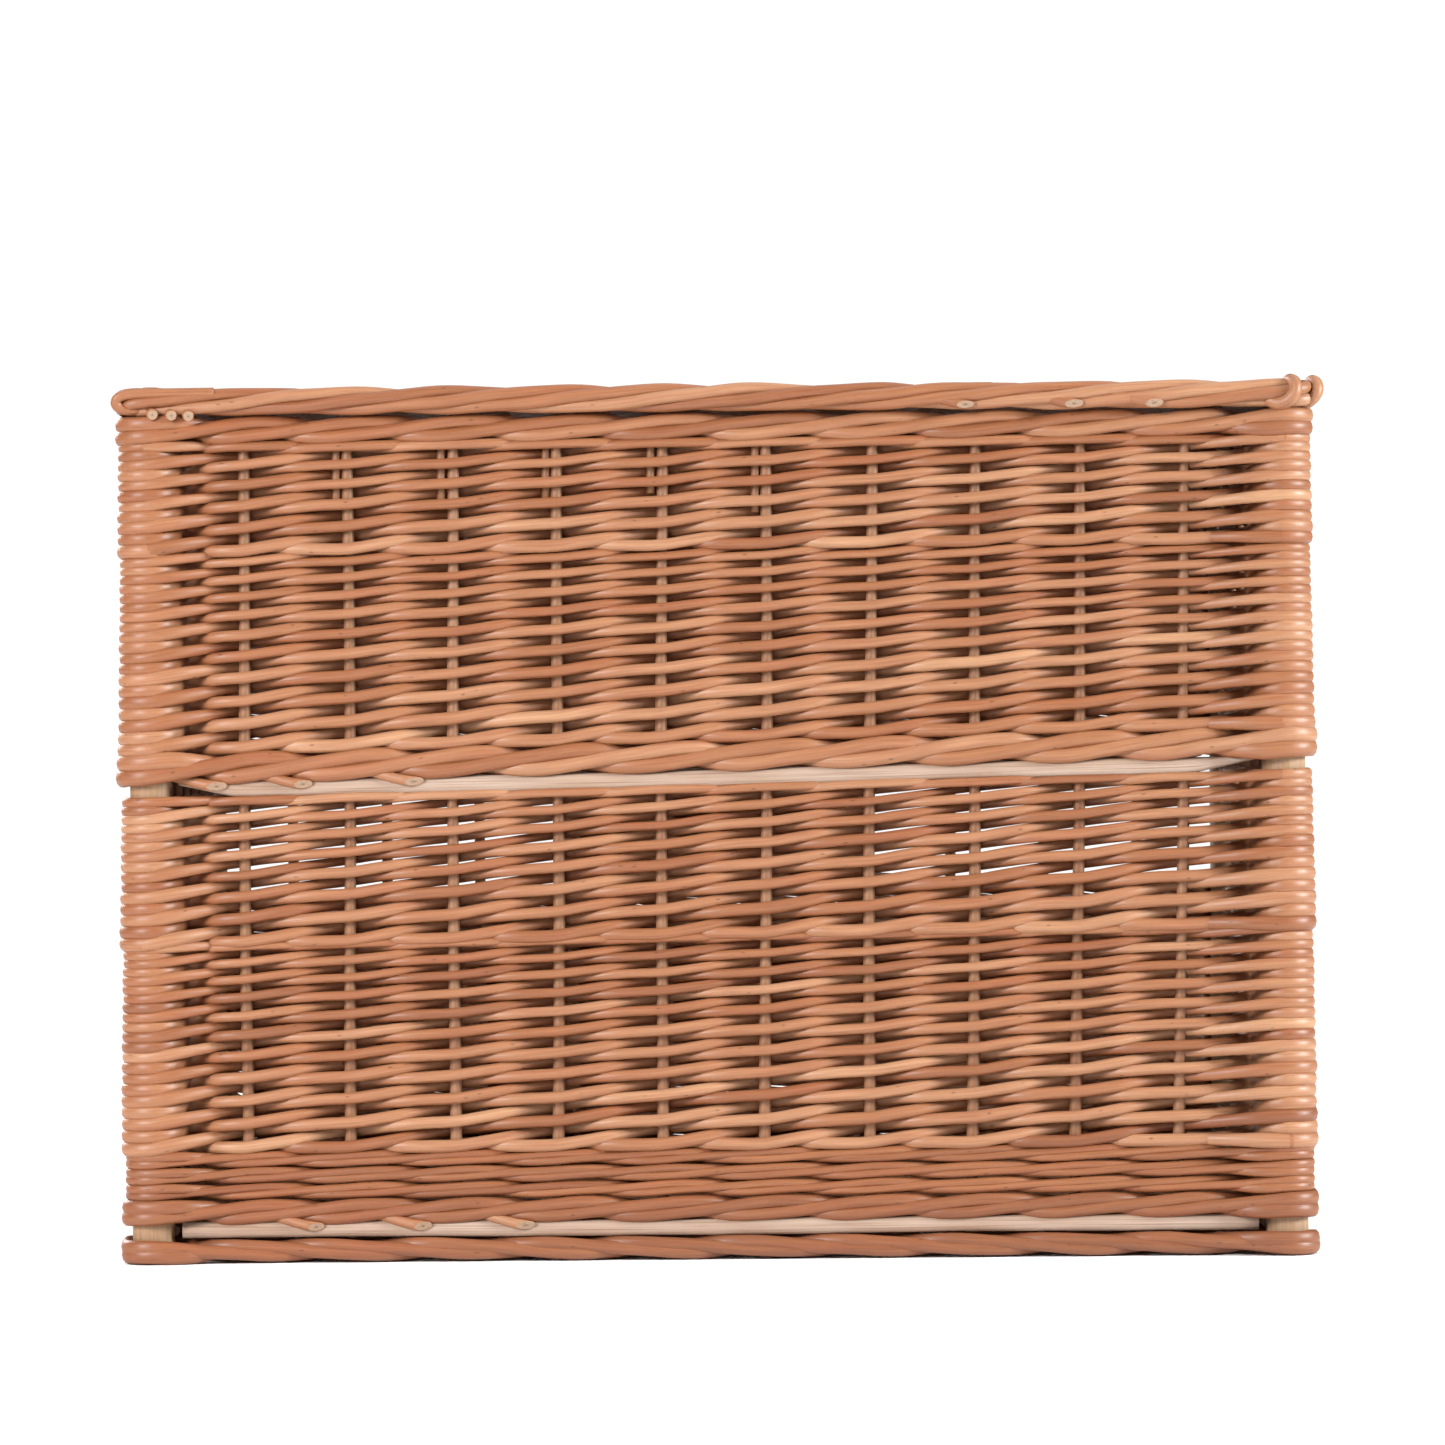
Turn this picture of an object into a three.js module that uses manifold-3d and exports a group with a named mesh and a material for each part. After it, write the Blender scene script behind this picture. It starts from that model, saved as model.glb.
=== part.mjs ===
// Rectangular two-tier willow laundry hamper with a flat hinged lid.
// Millimetres, +Z up, the front wall faces -Y, and the foot stands on Z = 0.
import * as THREE from 'three';
import { mergeVertices } from 'three/addons/utils/BufferGeometryUtils.js';
import Module from 'manifold-3d';

const wasm = await Module();
wasm.setup();

// ---- Driving dimensions -------------------------------------------------
const CLEARANCE = 0.3; // between pieces that touch on the real basket
const HOLE_CLEARANCE = 0.36; // at the corners of a faceted hole, which leaves CLEARANCE over its flats
const HAMPER_LENGTH = 600; // over the corner wraps, along X
const HAMPER_DEPTH = 400; // over the corner wraps, along Y

const POST_DIAMETER = 21.5;
const CORNER_BLOCK = 29.5; // side of the square of rods wrapped round a post
const WALL_THICKNESS = 16.5; // rods in front of the stakes plus rods behind them
const WALL_SPREAD = 8.25; // the wall's faces lie this far from the stake line

const STAKE_DIAMETER = 6.2;
const STAKE_SPACING = 52.8;
const LONG_WALL_STAKES = 10;
const END_WALL_STAKES = 6;

// Heights of the horizontal bands
const FOOT_TOP = 12.2;
const LATH_LOW = [12.5, 19.5];
const BASE = [12.5, 19.2];
const LOWER_WALE = [19.5, 56.2];
const LOWER_WEAVE = [56.5, 237.7];
const REAR_WINDOW_BOTTOM = 178; // two airing windows lie above it in the rear wall
const REAR_WINDOW_START = 1.5 * STAKE_SPACING + 5; // from the middle; each goes out to a corner post
const LATH_MID = [238, 245.2];
const MID_WALE = [245.5, 261.2];
const UPPER_WEAVE = [261.5, 411.7];
const TOP_WALE = [412, 426];
const STAKE_ENDS = [12.5, 425.5];
const POST_ENDS = [0.5, 425.5];

const LATH_THICKNESS = 4.3;
const LATH_LENGTH = 541;

// Lid
const LID_BORDER = [426.3, 440];
const LID_PANEL = [427.5, 437.5];
const LID_HALF_LENGTH = 303;
const LID_FRONT = -203;
const LID_REAR = 208;
const LID_BORDER_WIDTH = 11;
const LID_STICK_DIAMETER = 9;
const LID_CORNER_RADIUS = 9;

// Hinge rings of twisted willow round the hinge axis
const HINGE_AXIS_Y = 202;
const HINGE_AXIS_Z = 426;
const RING_RADIUS = 18.5; // to the middle of the rope
const RING_ROPE_RADIUS = 2.5;
const RING_X = 3 * STAKE_SPACING; // midway between two stakes
const RING_SLOT_WIDTH = 8;
const RING_SLOT_FRONT = 180.5; // in the lid and the top wale
const LOW_SLOT_FRONT = 184.5; // in the weave under the top wale, where the rings curve back
const LOW_SLOT_BOTTOM = 404.5;

const postX = (HAMPER_LENGTH - CORNER_BLOCK) / 2;
const postY = (HAMPER_DEPTH - CORNER_BLOCK) / 2;
// The rings stand out behind the lid, and the origin is the middle of the whole footprint.
const ringRear = HINGE_AXIS_Y + RING_RADIUS + RING_ROPE_RADIUS;
const originShift = -(LID_FRONT + ringRear) / 2;

// ---- Materials ----------------------------------------------------------
const finish = (color, roughness) => new THREE.MeshStandardMaterial({ color, roughness, metalness: 0 });
const buffWillow = finish(0xb8814f, 0.45);
const stakeWillow = finish(0xa8703f, 0.5);
const peeledPost = finish(0xd9b68a, 0.55);
const splitLath = finish(0xe3c8a0, 0.6);

// ---- Geometry helpers ---------------------------------------------------
const hamper = new THREE.Group();

function addPiece(name, geometry, material) {
  const mesh = new THREE.Mesh(geometry, material);
  mesh.name = name;
  hamper.add(mesh);
  return mesh;
}

/** A regular polygon that stands for a round section, as a closed point list. */
function roundSection(x, y, radius, sides) {
  return Array.from({ length: sides }, (_, i) => {
    const angle = (2 * Math.PI * (i + 0.5)) / sides;
    return new THREE.Vector2(x + radius * Math.cos(angle), y + radius * Math.sin(angle));
  });
}

/** A closed outline through [x, y, cornerRadius] points, with rounded corners where asked. */
function outline(points) {
  const shape = new THREE.Shape();
  points.forEach(([x, y, radius = 0], i) => {
    const corner = new THREE.Vector2(x, y);
    const towards = ([tx, ty]) => new THREE.Vector2(tx, ty).sub(corner).setLength(radius).add(corner);
    const start = radius ? towards(points.at(i - 1)) : corner;
    if (i === 0) shape.moveTo(start.x, start.y);
    else shape.lineTo(start.x, start.y);
    if (radius) {
      const end = towards(points[(i + 1) % points.length]);
      shape.quadraticCurveTo(x, y, end.x, end.y);
    }
  });
  shape.closePath();
  return shape;
}

/** A plan shape extruded between two heights. */
function slab(shape, [low, high]) {
  const geometry = new THREE.ExtrudeGeometry(shape, {
    depth: high - low, bevelEnabled: false, curveSegments: 2,
  });
  return geometry.translate(0, 0, low);
}

/** The points of one quadrant's corner, mirrored round all four corners anticlockwise. */
function roundFourCorners(corner) {
  const signs = [[1, 1], [-1, 1], [-1, -1], [1, -1]];
  return signs.flatMap(([sx, sy]) => {
    const points = corner.map(([x, y, r]) => [sx * x, sy * y, r]);
    return sx * sy > 0 ? points : points.reverse();
  });
}

/** The geometry as a solid that can be cut. */
function solidOf(geometry) {
  const bare = geometry.clone();
  bare.deleteAttribute('normal');
  bare.deleteAttribute('uv');
  const merged = mergeVertices(bare, 1e-3);
  return new wasm.Manifold(new wasm.Mesh({
    numProp: 3,
    vertProperties: new Float32Array(merged.attributes.position.array),
    triVerts: new Uint32Array(merged.index.array),
  }));
}

/** A box between two corners [x, y, z]. */
function boxBetween(low, high) {
  const size = high.map((value, i) => value - low[i]);
  const box = new THREE.BoxGeometry(...size);
  return box.translate(...low.map((value, i) => value + size[i] / 2));
}

/** The geometry with each of the cutters taken out of it. */
function cutAway(geometry, cutters) {
  const solid = cutters.reduce((rest, cutter) => rest.subtract(solidOf(cutter)), solidOf(geometry));
  const mesh = solid.getMesh();
  const cut = new THREE.BufferGeometry();
  cut.setAttribute('position', new THREE.BufferAttribute(mesh.vertProperties, 3));
  cut.setIndex(new THREE.BufferAttribute(mesh.triVerts, 1));
  cut.computeVertexNormals();
  return cut;
}

/** The geometry with an upright hole through its heights for each section given. */
function drilled(geometry, sections, [low, high]) {
  return cutAway(geometry, sections.map((points) => slab(new THREE.Shape(points), [low - 1, high + 1])));
}

// ---- Uprights -----------------------------------------------------------
const STAKE_SIDES = 6;
const POST_SIDES = 14;

/** Stake centres along one wall, from -X or -Y to +X or +Y. */
function stakePlaces(count) {
  return Array.from({ length: count }, (_, i) => STAKE_SPACING * (i - (count - 1) / 2));
}

const longStakes = stakePlaces(LONG_WALL_STAKES);
const endStakes = stakePlaces(END_WALL_STAKES);
const stakeSpots = {
  front: longStakes.map((x) => [x, -postY]),
  rear: longStakes.map((x) => [x, postY]),
  left: endStakes.map((y) => [-postX, y]),
  right: endStakes.map((y) => [postX, y]),
};
const postSpots = {
  front_left: [-postX, -postY],
  front_right: [postX, -postY],
  rear_left: [-postX, postY],
  rear_right: [postX, postY],
};

function addUprights() {
  for (const [place, [x, y]] of Object.entries(postSpots)) {
    const section = new THREE.Shape(roundSection(x, y, POST_DIAMETER / 2, POST_SIDES));
    addPiece(`corner_post_${place}`, slab(section, POST_ENDS), peeledPost);
  }
  for (const [wall, spots] of Object.entries(stakeSpots)) {
    spots.forEach(([x, y], i) => {
      const section = new THREE.Shape(roundSection(x, y, STAKE_DIAMETER / 2, STAKE_SIDES));
      const name = `stake_${wall}_${String(i + 1).padStart(2, '0')}`;
      addPiece(name, slab(section, STAKE_ENDS), stakeWillow);
    });
  }
}

const postHole = ([x, y]) => roundSection(x, y, POST_DIAMETER / 2 + HOLE_CLEARANCE, POST_SIDES);
const stakeHole = ([x, y]) => roundSection(x, y, STAKE_DIAMETER / 2 + HOLE_CLEARANCE, STAKE_SIDES);

// ---- Woven walls --------------------------------------------------------
const blockInnerX = HAMPER_LENGTH / 2 - CORNER_BLOCK;
const blockInnerY = HAMPER_DEPTH / 2 - CORNER_BLOCK;
const BLOCK_ROUNDING = 5;

/** The plan of the front wall: a web between two blocks of rods wrapped round the posts. */
function frontWallPlan() {
  const outer = -HAMPER_DEPTH / 2;
  const webOuter = -postY - WALL_SPREAD;
  const webInner = webOuter + WALL_THICKNESS;
  const half = [
    [blockInnerX, webOuter], [blockInnerX, outer, BLOCK_ROUNDING],
    [HAMPER_LENGTH / 2, outer, BLOCK_ROUNDING], [HAMPER_LENGTH / 2, -blockInnerY, BLOCK_ROUNDING],
    [blockInnerX, -blockInnerY, BLOCK_ROUNDING], [blockInnerX, webInner],
  ];
  const mirrored = half.map(([x, y, r]) => [-x, y, r]).reverse();
  return outline([...half, ...mirrored]);
}

/** The plan of the left wall: a plain web between the corner blocks. */
function leftWallPlan() {
  const outer = -postX - WALL_SPREAD;
  const end = blockInnerY - CLEARANCE;
  return outline([
    [outer, -end], [outer + WALL_THICKNESS, -end], [outer + WALL_THICKNESS, end], [outer, end],
  ]);
}

/** The front wall's geometry turned half round, which makes it the rear wall's. */
const turned = (geometry) => geometry.rotateZ(Math.PI);

function longWall(heights) {
  const posts = [postSpots.front_left, postSpots.front_right];
  const holes = [...posts.map(postHole), ...stakeSpots.front.map(stakeHole)];
  return drilled(slab(frontWallPlan(), heights), holes, heights);
}

function endWall(heights) {
  return drilled(slab(leftWallPlan(), heights), stakeSpots.left.map(stakeHole), heights);
}

/** The room that the two hinge rings take out of a piece, between two depths and two heights. */
function ringRoom(front, rear, [low, high]) {
  const half = RING_SLOT_WIDTH / 2;
  return [-RING_X, RING_X].map((x) => boxBetween([x - half, front, low], [x + half, rear, high]));
}

/** The two openings in the rear wall, on either side of its closed middle. */
function airingWindows() {
  const [near, far] = [REAR_WINDOW_START, HAMPER_LENGTH / 2 + 1];
  return [[-far, -near], [near, far]].map(([left, right]) => boxBetween(
    [left, blockInnerY - 1, REAR_WINDOW_BOTTOM],
    [right, HAMPER_DEPTH / 2 + 1, LOWER_WEAVE[1] + 1],
  ));
}

function addWalls() {
  addPiece('lower_weave_front', longWall(LOWER_WEAVE), buffWillow);
  const rearLower = cutAway(turned(longWall(LOWER_WEAVE)), airingWindows());
  addPiece('lower_weave_rear', rearLower, buffWillow);
  addPiece('lower_weave_left', endWall(LOWER_WEAVE), buffWillow);
  addPiece('lower_weave_right', turned(endWall(LOWER_WEAVE)), buffWillow);
  addPiece('upper_weave_front', longWall(UPPER_WEAVE), buffWillow);
  addPiece('upper_weave_left', endWall(UPPER_WEAVE), buffWillow);
  addPiece('upper_weave_right', turned(endWall(UPPER_WEAVE)), buffWillow);
  const cut = ringRoom(LOW_SLOT_FRONT, HAMPER_DEPTH / 2, [LOW_SLOT_BOTTOM, UPPER_WEAVE[1] + 1]);
  addPiece('upper_weave_rear', cutAway(turned(longWall(UPPER_WEAVE)), cut), buffWillow);
}

// ---- Bands that run right round -----------------------------------------
/** A ring with the walls' plan and the corner blocks, with a hole for each upright given. */
function bandRing(heights, uprightHoles) {
  const webX = postX + WALL_SPREAD;
  const webY = postY + WALL_SPREAD;
  const outer = roundFourCorners([
    [webX, blockInnerY], [HAMPER_LENGTH / 2, blockInnerY, BLOCK_ROUNDING],
    [HAMPER_LENGTH / 2, HAMPER_DEPTH / 2, BLOCK_ROUNDING],
    [blockInnerX, HAMPER_DEPTH / 2, BLOCK_ROUNDING], [blockInnerX, webY],
  ]);
  const notchX = blockInnerX + CLEARANCE;
  const notchY = blockInnerY + CLEARANCE;
  const inner = roundFourCorners([
    [webX - WALL_THICKNESS, notchY], [notchX, notchY], [notchX, webY - WALL_THICKNESS],
  ]);
  const ring = outline(outer);
  ring.holes = [outline(inner)];
  return drilled(slab(ring, heights), uprightHoles, heights);
}

function addBands() {
  const posts = Object.values(postSpots).map(postHole);
  const uprights = [...posts, ...Object.values(stakeSpots).flat().map(stakeHole)];
  addPiece('foot_border', bandRing([0, FOOT_TOP], posts), buffWillow);
  addPiece('lower_wale', bandRing(LOWER_WALE, uprights), buffWillow);
  addPiece('mid_wale', bandRing(MID_WALE, uprights), buffWillow);
  const cut = ringRoom(RING_SLOT_FRONT, HAMPER_DEPTH / 2, [TOP_WALE[0] - 1, TOP_WALE[1] + 1]);
  addPiece('top_wale', cutAway(bandRing(TOP_WALE, uprights), cut), buffWillow);
}

/** Half-round split laths, bound flat against the outside of the long walls' stakes. */
function addLaths() {
  const inner = postY + STAKE_DIAMETER / 2 + CLEARANCE;
  for (const [level, [low, high]] of Object.entries({ bottom: LATH_LOW, mid: LATH_MID })) {
    for (const [wall, side] of Object.entries({ front: -1, rear: 1 })) {
      const lath = new THREE.BoxGeometry(LATH_LENGTH, LATH_THICKNESS, high - low);
      lath.translate(0, side * (inner + LATH_THICKNESS / 2), (low + high) / 2);
      addPiece(`${level}_lath_${wall}`, lath, splitLath);
    }
  }
}

// ---- Base ---------------------------------------------------------------
const BASE_CORNER_CUT = 16; // clears the posts

function addBase() {
  const halfX = postX - STAKE_DIAMETER / 2 - HOLE_CLEARANCE;
  const halfY = postY - STAKE_DIAMETER / 2 - HOLE_CLEARANCE;
  const plan = roundFourCorners([[halfX, halfY - BASE_CORNER_CUT], [halfX - BASE_CORNER_CUT, halfY]]);
  addPiece('base_weave', slab(outline(plan), BASE), buffWillow);
}

// ---- Lid and hinge ------------------------------------------------------
const STICK_SIDES = 10;
const ROPE_SIDES = 8;
const RING_STEPS = 24;

function lidFrame(inset, radius) {
  return outline([
    [-LID_HALF_LENGTH + inset, LID_FRONT + inset, radius],
    [LID_HALF_LENGTH - inset, LID_FRONT + inset, radius],
    [LID_HALF_LENGTH - inset, LID_REAR - inset, radius],
    [-LID_HALF_LENGTH + inset, LID_REAR - inset, radius],
  ]);
}

function addLid() {
  const border = lidFrame(0, LID_CORNER_RADIUS);
  border.holes = [lidFrame(LID_BORDER_WIDTH, 0)];
  addPiece('lid_border', slab(border, LID_BORDER), buffWillow);

  const inset = LID_BORDER_WIDTH + CLEARANCE;
  const stickX = LID_HALF_LENGTH - inset - LID_STICK_DIAMETER / 2;
  const stickLength = LID_REAR - LID_FRONT - 2 * inset;
  for (const [place, x] of Object.entries({ left: -stickX, right: stickX })) {
    const radius = LID_STICK_DIAMETER / 2;
    const stick = new THREE.CylinderGeometry(radius, radius, stickLength, STICK_SIDES);
    stick.translate(x, (LID_FRONT + LID_REAR) / 2, (LID_PANEL[0] + LID_PANEL[1]) / 2);
    addPiece(`lid_end_stick_${place}`, stick, stakeWillow);
  }

  const panelX = stickX - LID_STICK_DIAMETER / 2 - CLEARANCE;
  const panel = slab(outline([
    [-panelX, LID_FRONT + inset], [panelX, LID_FRONT + inset],
    [panelX, LID_REAR - inset], [-panelX, LID_REAR - inset],
  ]), LID_PANEL);
  const cut = ringRoom(RING_SLOT_FRONT, LID_REAR, [LID_PANEL[0] - 1, LID_PANEL[1] + 1]);
  addPiece('lid_weave', cutAway(panel, cut), buffWillow);
}

function addHingeRings() {
  const profile = Array.from({ length: ROPE_SIDES + 1 }, (_, i) => {
    const angle = (2 * Math.PI * (i % ROPE_SIDES)) / ROPE_SIDES;
    return new THREE.Vector2(
      RING_RADIUS + RING_ROPE_RADIUS * Math.cos(angle), RING_ROPE_RADIUS * Math.sin(angle),
    );
  });
  for (const [place, x] of Object.entries({ left: -RING_X, right: RING_X })) {
    const ring = new THREE.LatheGeometry(profile, RING_STEPS);
    ring.rotateZ(Math.PI / 2).translate(x, HINGE_AXIS_Y, HINGE_AXIS_Z);
    addPiece(`hinge_ring_${place}`, ring, stakeWillow);
  }
}

addUprights();
addWalls();
addBands();
addLaths();
addBase();
addLid();
addHingeRings();
hamper.position.y = originShift;

export default hamper;
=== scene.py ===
"""A rectangular buff willow laundry hamper with a flat lid, rod by rod.

The rods are threaded round the uprights as a basket maker works them: bands of randing, wales, borders, a base
and a lid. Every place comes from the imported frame, in metres, with +Z up and the front wall facing -Y.
"""

import logging
import math
from collections.abc import Callable, Sequence
from dataclasses import dataclass, field
from enum import Enum
from typing import ClassVar

import bpy
import numpy as np
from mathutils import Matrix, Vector


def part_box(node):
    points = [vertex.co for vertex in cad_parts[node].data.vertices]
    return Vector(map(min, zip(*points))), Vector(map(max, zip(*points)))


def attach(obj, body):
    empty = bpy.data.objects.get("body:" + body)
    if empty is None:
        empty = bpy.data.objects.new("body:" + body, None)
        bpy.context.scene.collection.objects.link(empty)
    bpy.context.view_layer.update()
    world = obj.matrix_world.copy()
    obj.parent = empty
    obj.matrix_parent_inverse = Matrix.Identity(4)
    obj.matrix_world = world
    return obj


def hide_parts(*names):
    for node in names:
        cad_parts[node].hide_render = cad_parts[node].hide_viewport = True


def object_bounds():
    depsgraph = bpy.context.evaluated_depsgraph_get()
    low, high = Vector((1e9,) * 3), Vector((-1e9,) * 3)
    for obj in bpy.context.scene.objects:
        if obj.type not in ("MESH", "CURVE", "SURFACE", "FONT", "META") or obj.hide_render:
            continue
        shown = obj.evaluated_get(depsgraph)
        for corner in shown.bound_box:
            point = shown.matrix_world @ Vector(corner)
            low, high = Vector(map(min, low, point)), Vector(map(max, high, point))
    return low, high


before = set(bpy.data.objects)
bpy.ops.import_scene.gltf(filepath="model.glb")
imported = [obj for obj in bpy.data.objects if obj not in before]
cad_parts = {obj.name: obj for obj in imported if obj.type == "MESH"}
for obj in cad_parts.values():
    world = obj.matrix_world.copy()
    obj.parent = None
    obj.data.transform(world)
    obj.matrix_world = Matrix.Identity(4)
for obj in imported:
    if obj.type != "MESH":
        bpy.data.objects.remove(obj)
CAD_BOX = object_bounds()

MM = 0.001
WEAVER_TONES = (2.2, 2.0)  # the beta spread of the weavers' tones, from 0 for the darkest to 1 for the palest
STICK_TONES = (2, 2)  # the same for posts, stakes and sticks
log = logging.getLogger("hamper")


# ---------------------------------------------------------------- materials
def linear(hex_colour: str) -> tuple[float, float, float, float]:
    """Turn an sRGB hex colour into linear RGBA.

    Args:
        hex_colour: Six hex digits after a hash.

    Returns:
        Linear red, green and blue, and an alpha of 1.
    """
    channels = [int(hex_colour[i : i + 2], 16) / 255 for i in (1, 3, 5)]
    red, green, blue = (c / 12.92 if c <= 0.04045 else ((c + 0.055) / 1.055) ** 2.4 for c in channels)
    return red, green, blue, 1.0


def add_node(
    tree: bpy.types.NodeTree, kind: str, settings: dict | None = None, inputs: dict | None = None
) -> bpy.types.Node:
    """Add a shader node with its settings and links.

    Args:
        tree: The node tree that gets the node.
        kind: The node's type name.
        settings: Attribute values of the node.
        inputs: For each input's name or number, a socket to link from or a constant.

    Returns:
        The new node.
    """
    node = tree.nodes.new(kind)
    for name, value in (settings or {}).items():
        setattr(node, name, value)
    for name, value in (inputs or {}).items():
        if isinstance(value, bpy.types.NodeSocket):
            tree.links.new(value, node.inputs[name])
        else:
            node.inputs[name].default_value = value
    return node


def new_material(name: str) -> tuple[bpy.types.Material, bpy.types.Node]:
    """Make an empty node material.

    Args:
        name: The material's name.

    Returns:
        The material and its surface shader.
    """
    material = bpy.data.materials.new(name)
    material.use_nodes = True
    return material, material.node_tree.nodes["Principled BSDF"]


def attribute(tree: bpy.types.NodeTree, name: str, output: str) -> bpy.types.NodeSocket:
    """One of the output sockets of a mesh attribute."""
    return add_node(tree, "ShaderNodeAttribute", {"attribute_name": name}).outputs[output]


def stretched(
    tree: bpy.types.NodeTree, place: bpy.types.NodeSocket, along_mm: float, across_mm: float
) -> bpy.types.NodeSocket:
    """The place inside the straightened rod, counted in steps of so many millimetres along and across it."""
    scale = (1 / (along_mm * MM), 1 / (across_mm * MM), 1 / (across_mm * MM))
    return add_node(tree, "ShaderNodeVectorMath", {"operation": "MULTIPLY"}, {0: place, 1: scale}).outputs[0]


def mixed(tree: bpy.types.NodeTree, blend: str, share: object, below: object, above: object) -> bpy.types.NodeSocket:
    """Mix two colours and return the result's socket.

    Args:
        tree: The node tree.
        blend: Blender's blend type, such as MIX or MULTIPLY.
        share: How much of the upper colour shows, as a number or a socket.
        below: The lower colour.
        above: The upper colour.

    Returns:
        The mixed colour's output socket.
    """
    node = add_node(
        tree, "ShaderNodeMix", {"data_type": "RGBA", "blend_type": blend}, {0: share, 6: below, 7: above}
    )
    return node.outputs[2]


def ramp(
    tree: bpy.types.NodeTree, share: bpy.types.NodeSocket, stops: Sequence[tuple[float, str]]
) -> bpy.types.NodeSocket:
    """Run a value through a colour ramp.

    Args:
        tree: The node tree.
        share: The value's socket.
        stops: Places from 0 to 1 with their sRGB hex colours.

    Returns:
        The colour's output socket.
    """
    node = add_node(tree, "ShaderNodeValToRGB", inputs={"Fac": share})
    elements = node.color_ramp.elements
    while len(elements) < len(stops):
        elements.new(0.5)
    for element, (place, colour) in zip(elements, stops):
        element.position = place
        element.color = linear(colour)
    return node.outputs["Color"]


def grain_noise(
    tree: bpy.types.NodeTree, place: bpy.types.NodeSocket, along_mm: float, across_mm: float, detail: float = 2.0
) -> bpy.types.NodeSocket:
    """Noise stretched along a rod.

    Args:
        tree: The node tree.
        place: The place inside the straightened rod, in metres.
        along_mm: The pattern's size along the rod.
        across_mm: The pattern's size across it.
        detail: The noise's detail.

    Returns:
        The noise value's output socket.
    """
    where = stretched(tree, place, along_mm, across_mm)
    noise = add_node(tree, "ShaderNodeTexNoise", inputs={"Vector": where, "Scale": 1.0, "Detail": detail})
    return noise.outputs["Fac"]


@dataclass(frozen=True)
class RodFinish:
    """The skin of a willow rod: boiled and stripped, woven damp, then given a thin satin lacquer.

    Boiling stains the wood with its own bark's tannin, so the rods differ from pale tan to red brown.
    """

    name: str
    tones: tuple[tuple[float, str], ...]
    flush: str  # the redder patches where the tannin took more strongly
    speck: str  # bud scars and crumbs of bark
    roughness: float
    flush_share: float = 0.45
    speck_share: float = 0.65
    coat: float = 0.12

    coat_roughness: float = 0.42
    patch_mm: tuple[float, float] = (70, 7)  # the flushed patches' size, along and across the rod
    fibre_mm: tuple[float, float] = (28, 0.75)  # the wood fibres', drawn wide enough to be seen
    scar_mm: tuple[float, float] = (7, 2.6)  # the spacing of bud scars and lenticels
    scar_share: float = 0.1  # how many of those places have one
    fibre_shadow: str = "#d2c6bd"  # what the darker fibres multiply the colour by
    fibre_depth: float = 0.85

    def build(self) -> bpy.types.Material:
        """Make the material, which reads each rod's tone and place attributes.

        Returns:
            The material.
        """
        material, shader = new_material(self.name)
        tree = material.node_tree
        place = attribute(tree, "rod_place", "Vector")
        streaks = grain_noise(tree, place, *self.fibre_mm, 3.0)
        base = self._flushed(tree, place, ramp(tree, attribute(tree, "rod_tone", "Fac"), self.tones))
        shade = ramp(tree, streaks, ((0.25, self.fibre_shadow), (0.75, "#ffffff")))
        base = self._specked(tree, place, mixed(tree, "MULTIPLY", self.fibre_depth, base, shade))
        tree.links.new(base, shader.inputs["Base Color"])

        rough = add_node(
            tree, "ShaderNodeMapRange",
            inputs={"Value": streaks, "To Min": self.roughness - 0.06, "To Max": self.roughness + 0.1},
        )
        tree.links.new(rough.outputs[0], shader.inputs["Roughness"])
        bump = add_node(tree, "ShaderNodeBump", inputs={"Height": streaks, "Strength": 0.35, "Distance": 0.25 * MM})
        tree.links.new(bump.outputs["Normal"], shader.inputs["Normal"])
        shader.inputs["IOR"].default_value = 1.47
        shader.inputs["Coat Weight"].default_value = self.coat
        shader.inputs["Coat Roughness"].default_value = self.coat_roughness
        return material

    def _flushed(
        self, tree: bpy.types.NodeTree, place: bpy.types.NodeSocket, base: bpy.types.NodeSocket
    ) -> bpy.types.NodeSocket:
        """Lay long patches of the flush over a colour.

        Args:
            tree: The material's node tree.
            place: The place inside the straightened rod.
            base: The colour so far.

        Returns:
            The patched colour.
        """
        patches = grain_noise(tree, place, *self.patch_mm, 3.0)
        where = add_node(
            tree, "ShaderNodeMapRange",
            inputs={"Value": patches, "From Min": 0.46, "From Max": 0.72, "To Max": self.flush_share},
        )
        return mixed(tree, "MIX", where.outputs[0], base, linear(self.flush))

    def _specked(
        self, tree: bpy.types.NodeTree, place: bpy.types.NodeSocket, base: bpy.types.NodeSocket
    ) -> bpy.types.NodeSocket:
        """Scatter bud scars over a colour.

        Args:
            tree: The material's node tree.
            place: The place inside the straightened rod.
            base: The colour so far.

        Returns:
            The specked colour.
        """
        where = stretched(tree, place, *self.scar_mm)
        spots = add_node(tree, "ShaderNodeTexVoronoi", inputs={"Vector": where, "Scale": 1.0})
        chance = add_node(tree, "ShaderNodeSeparateColor", inputs={"Color": spots.outputs["Color"]})
        chosen = add_node(
            tree, "ShaderNodeMath", {"operation": "GREATER_THAN"}, {0: chance.outputs[0], 1: 1 - self.scar_share}
        )
        size = add_node(
            tree, "ShaderNodeMapRange",
            inputs={"Value": spots.outputs["Distance"], "From Min": 0.22, "From Max": 0.08, "To Max": self.speck_share},
        )
        shown = add_node(tree, "ShaderNodeMath", {"operation": "MULTIPLY"}, {0: size.outputs[0], 1: chosen.outputs[0]})
        return mixed(tree, "MIX", shown.outputs[0], base, linear(self.speck))


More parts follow.
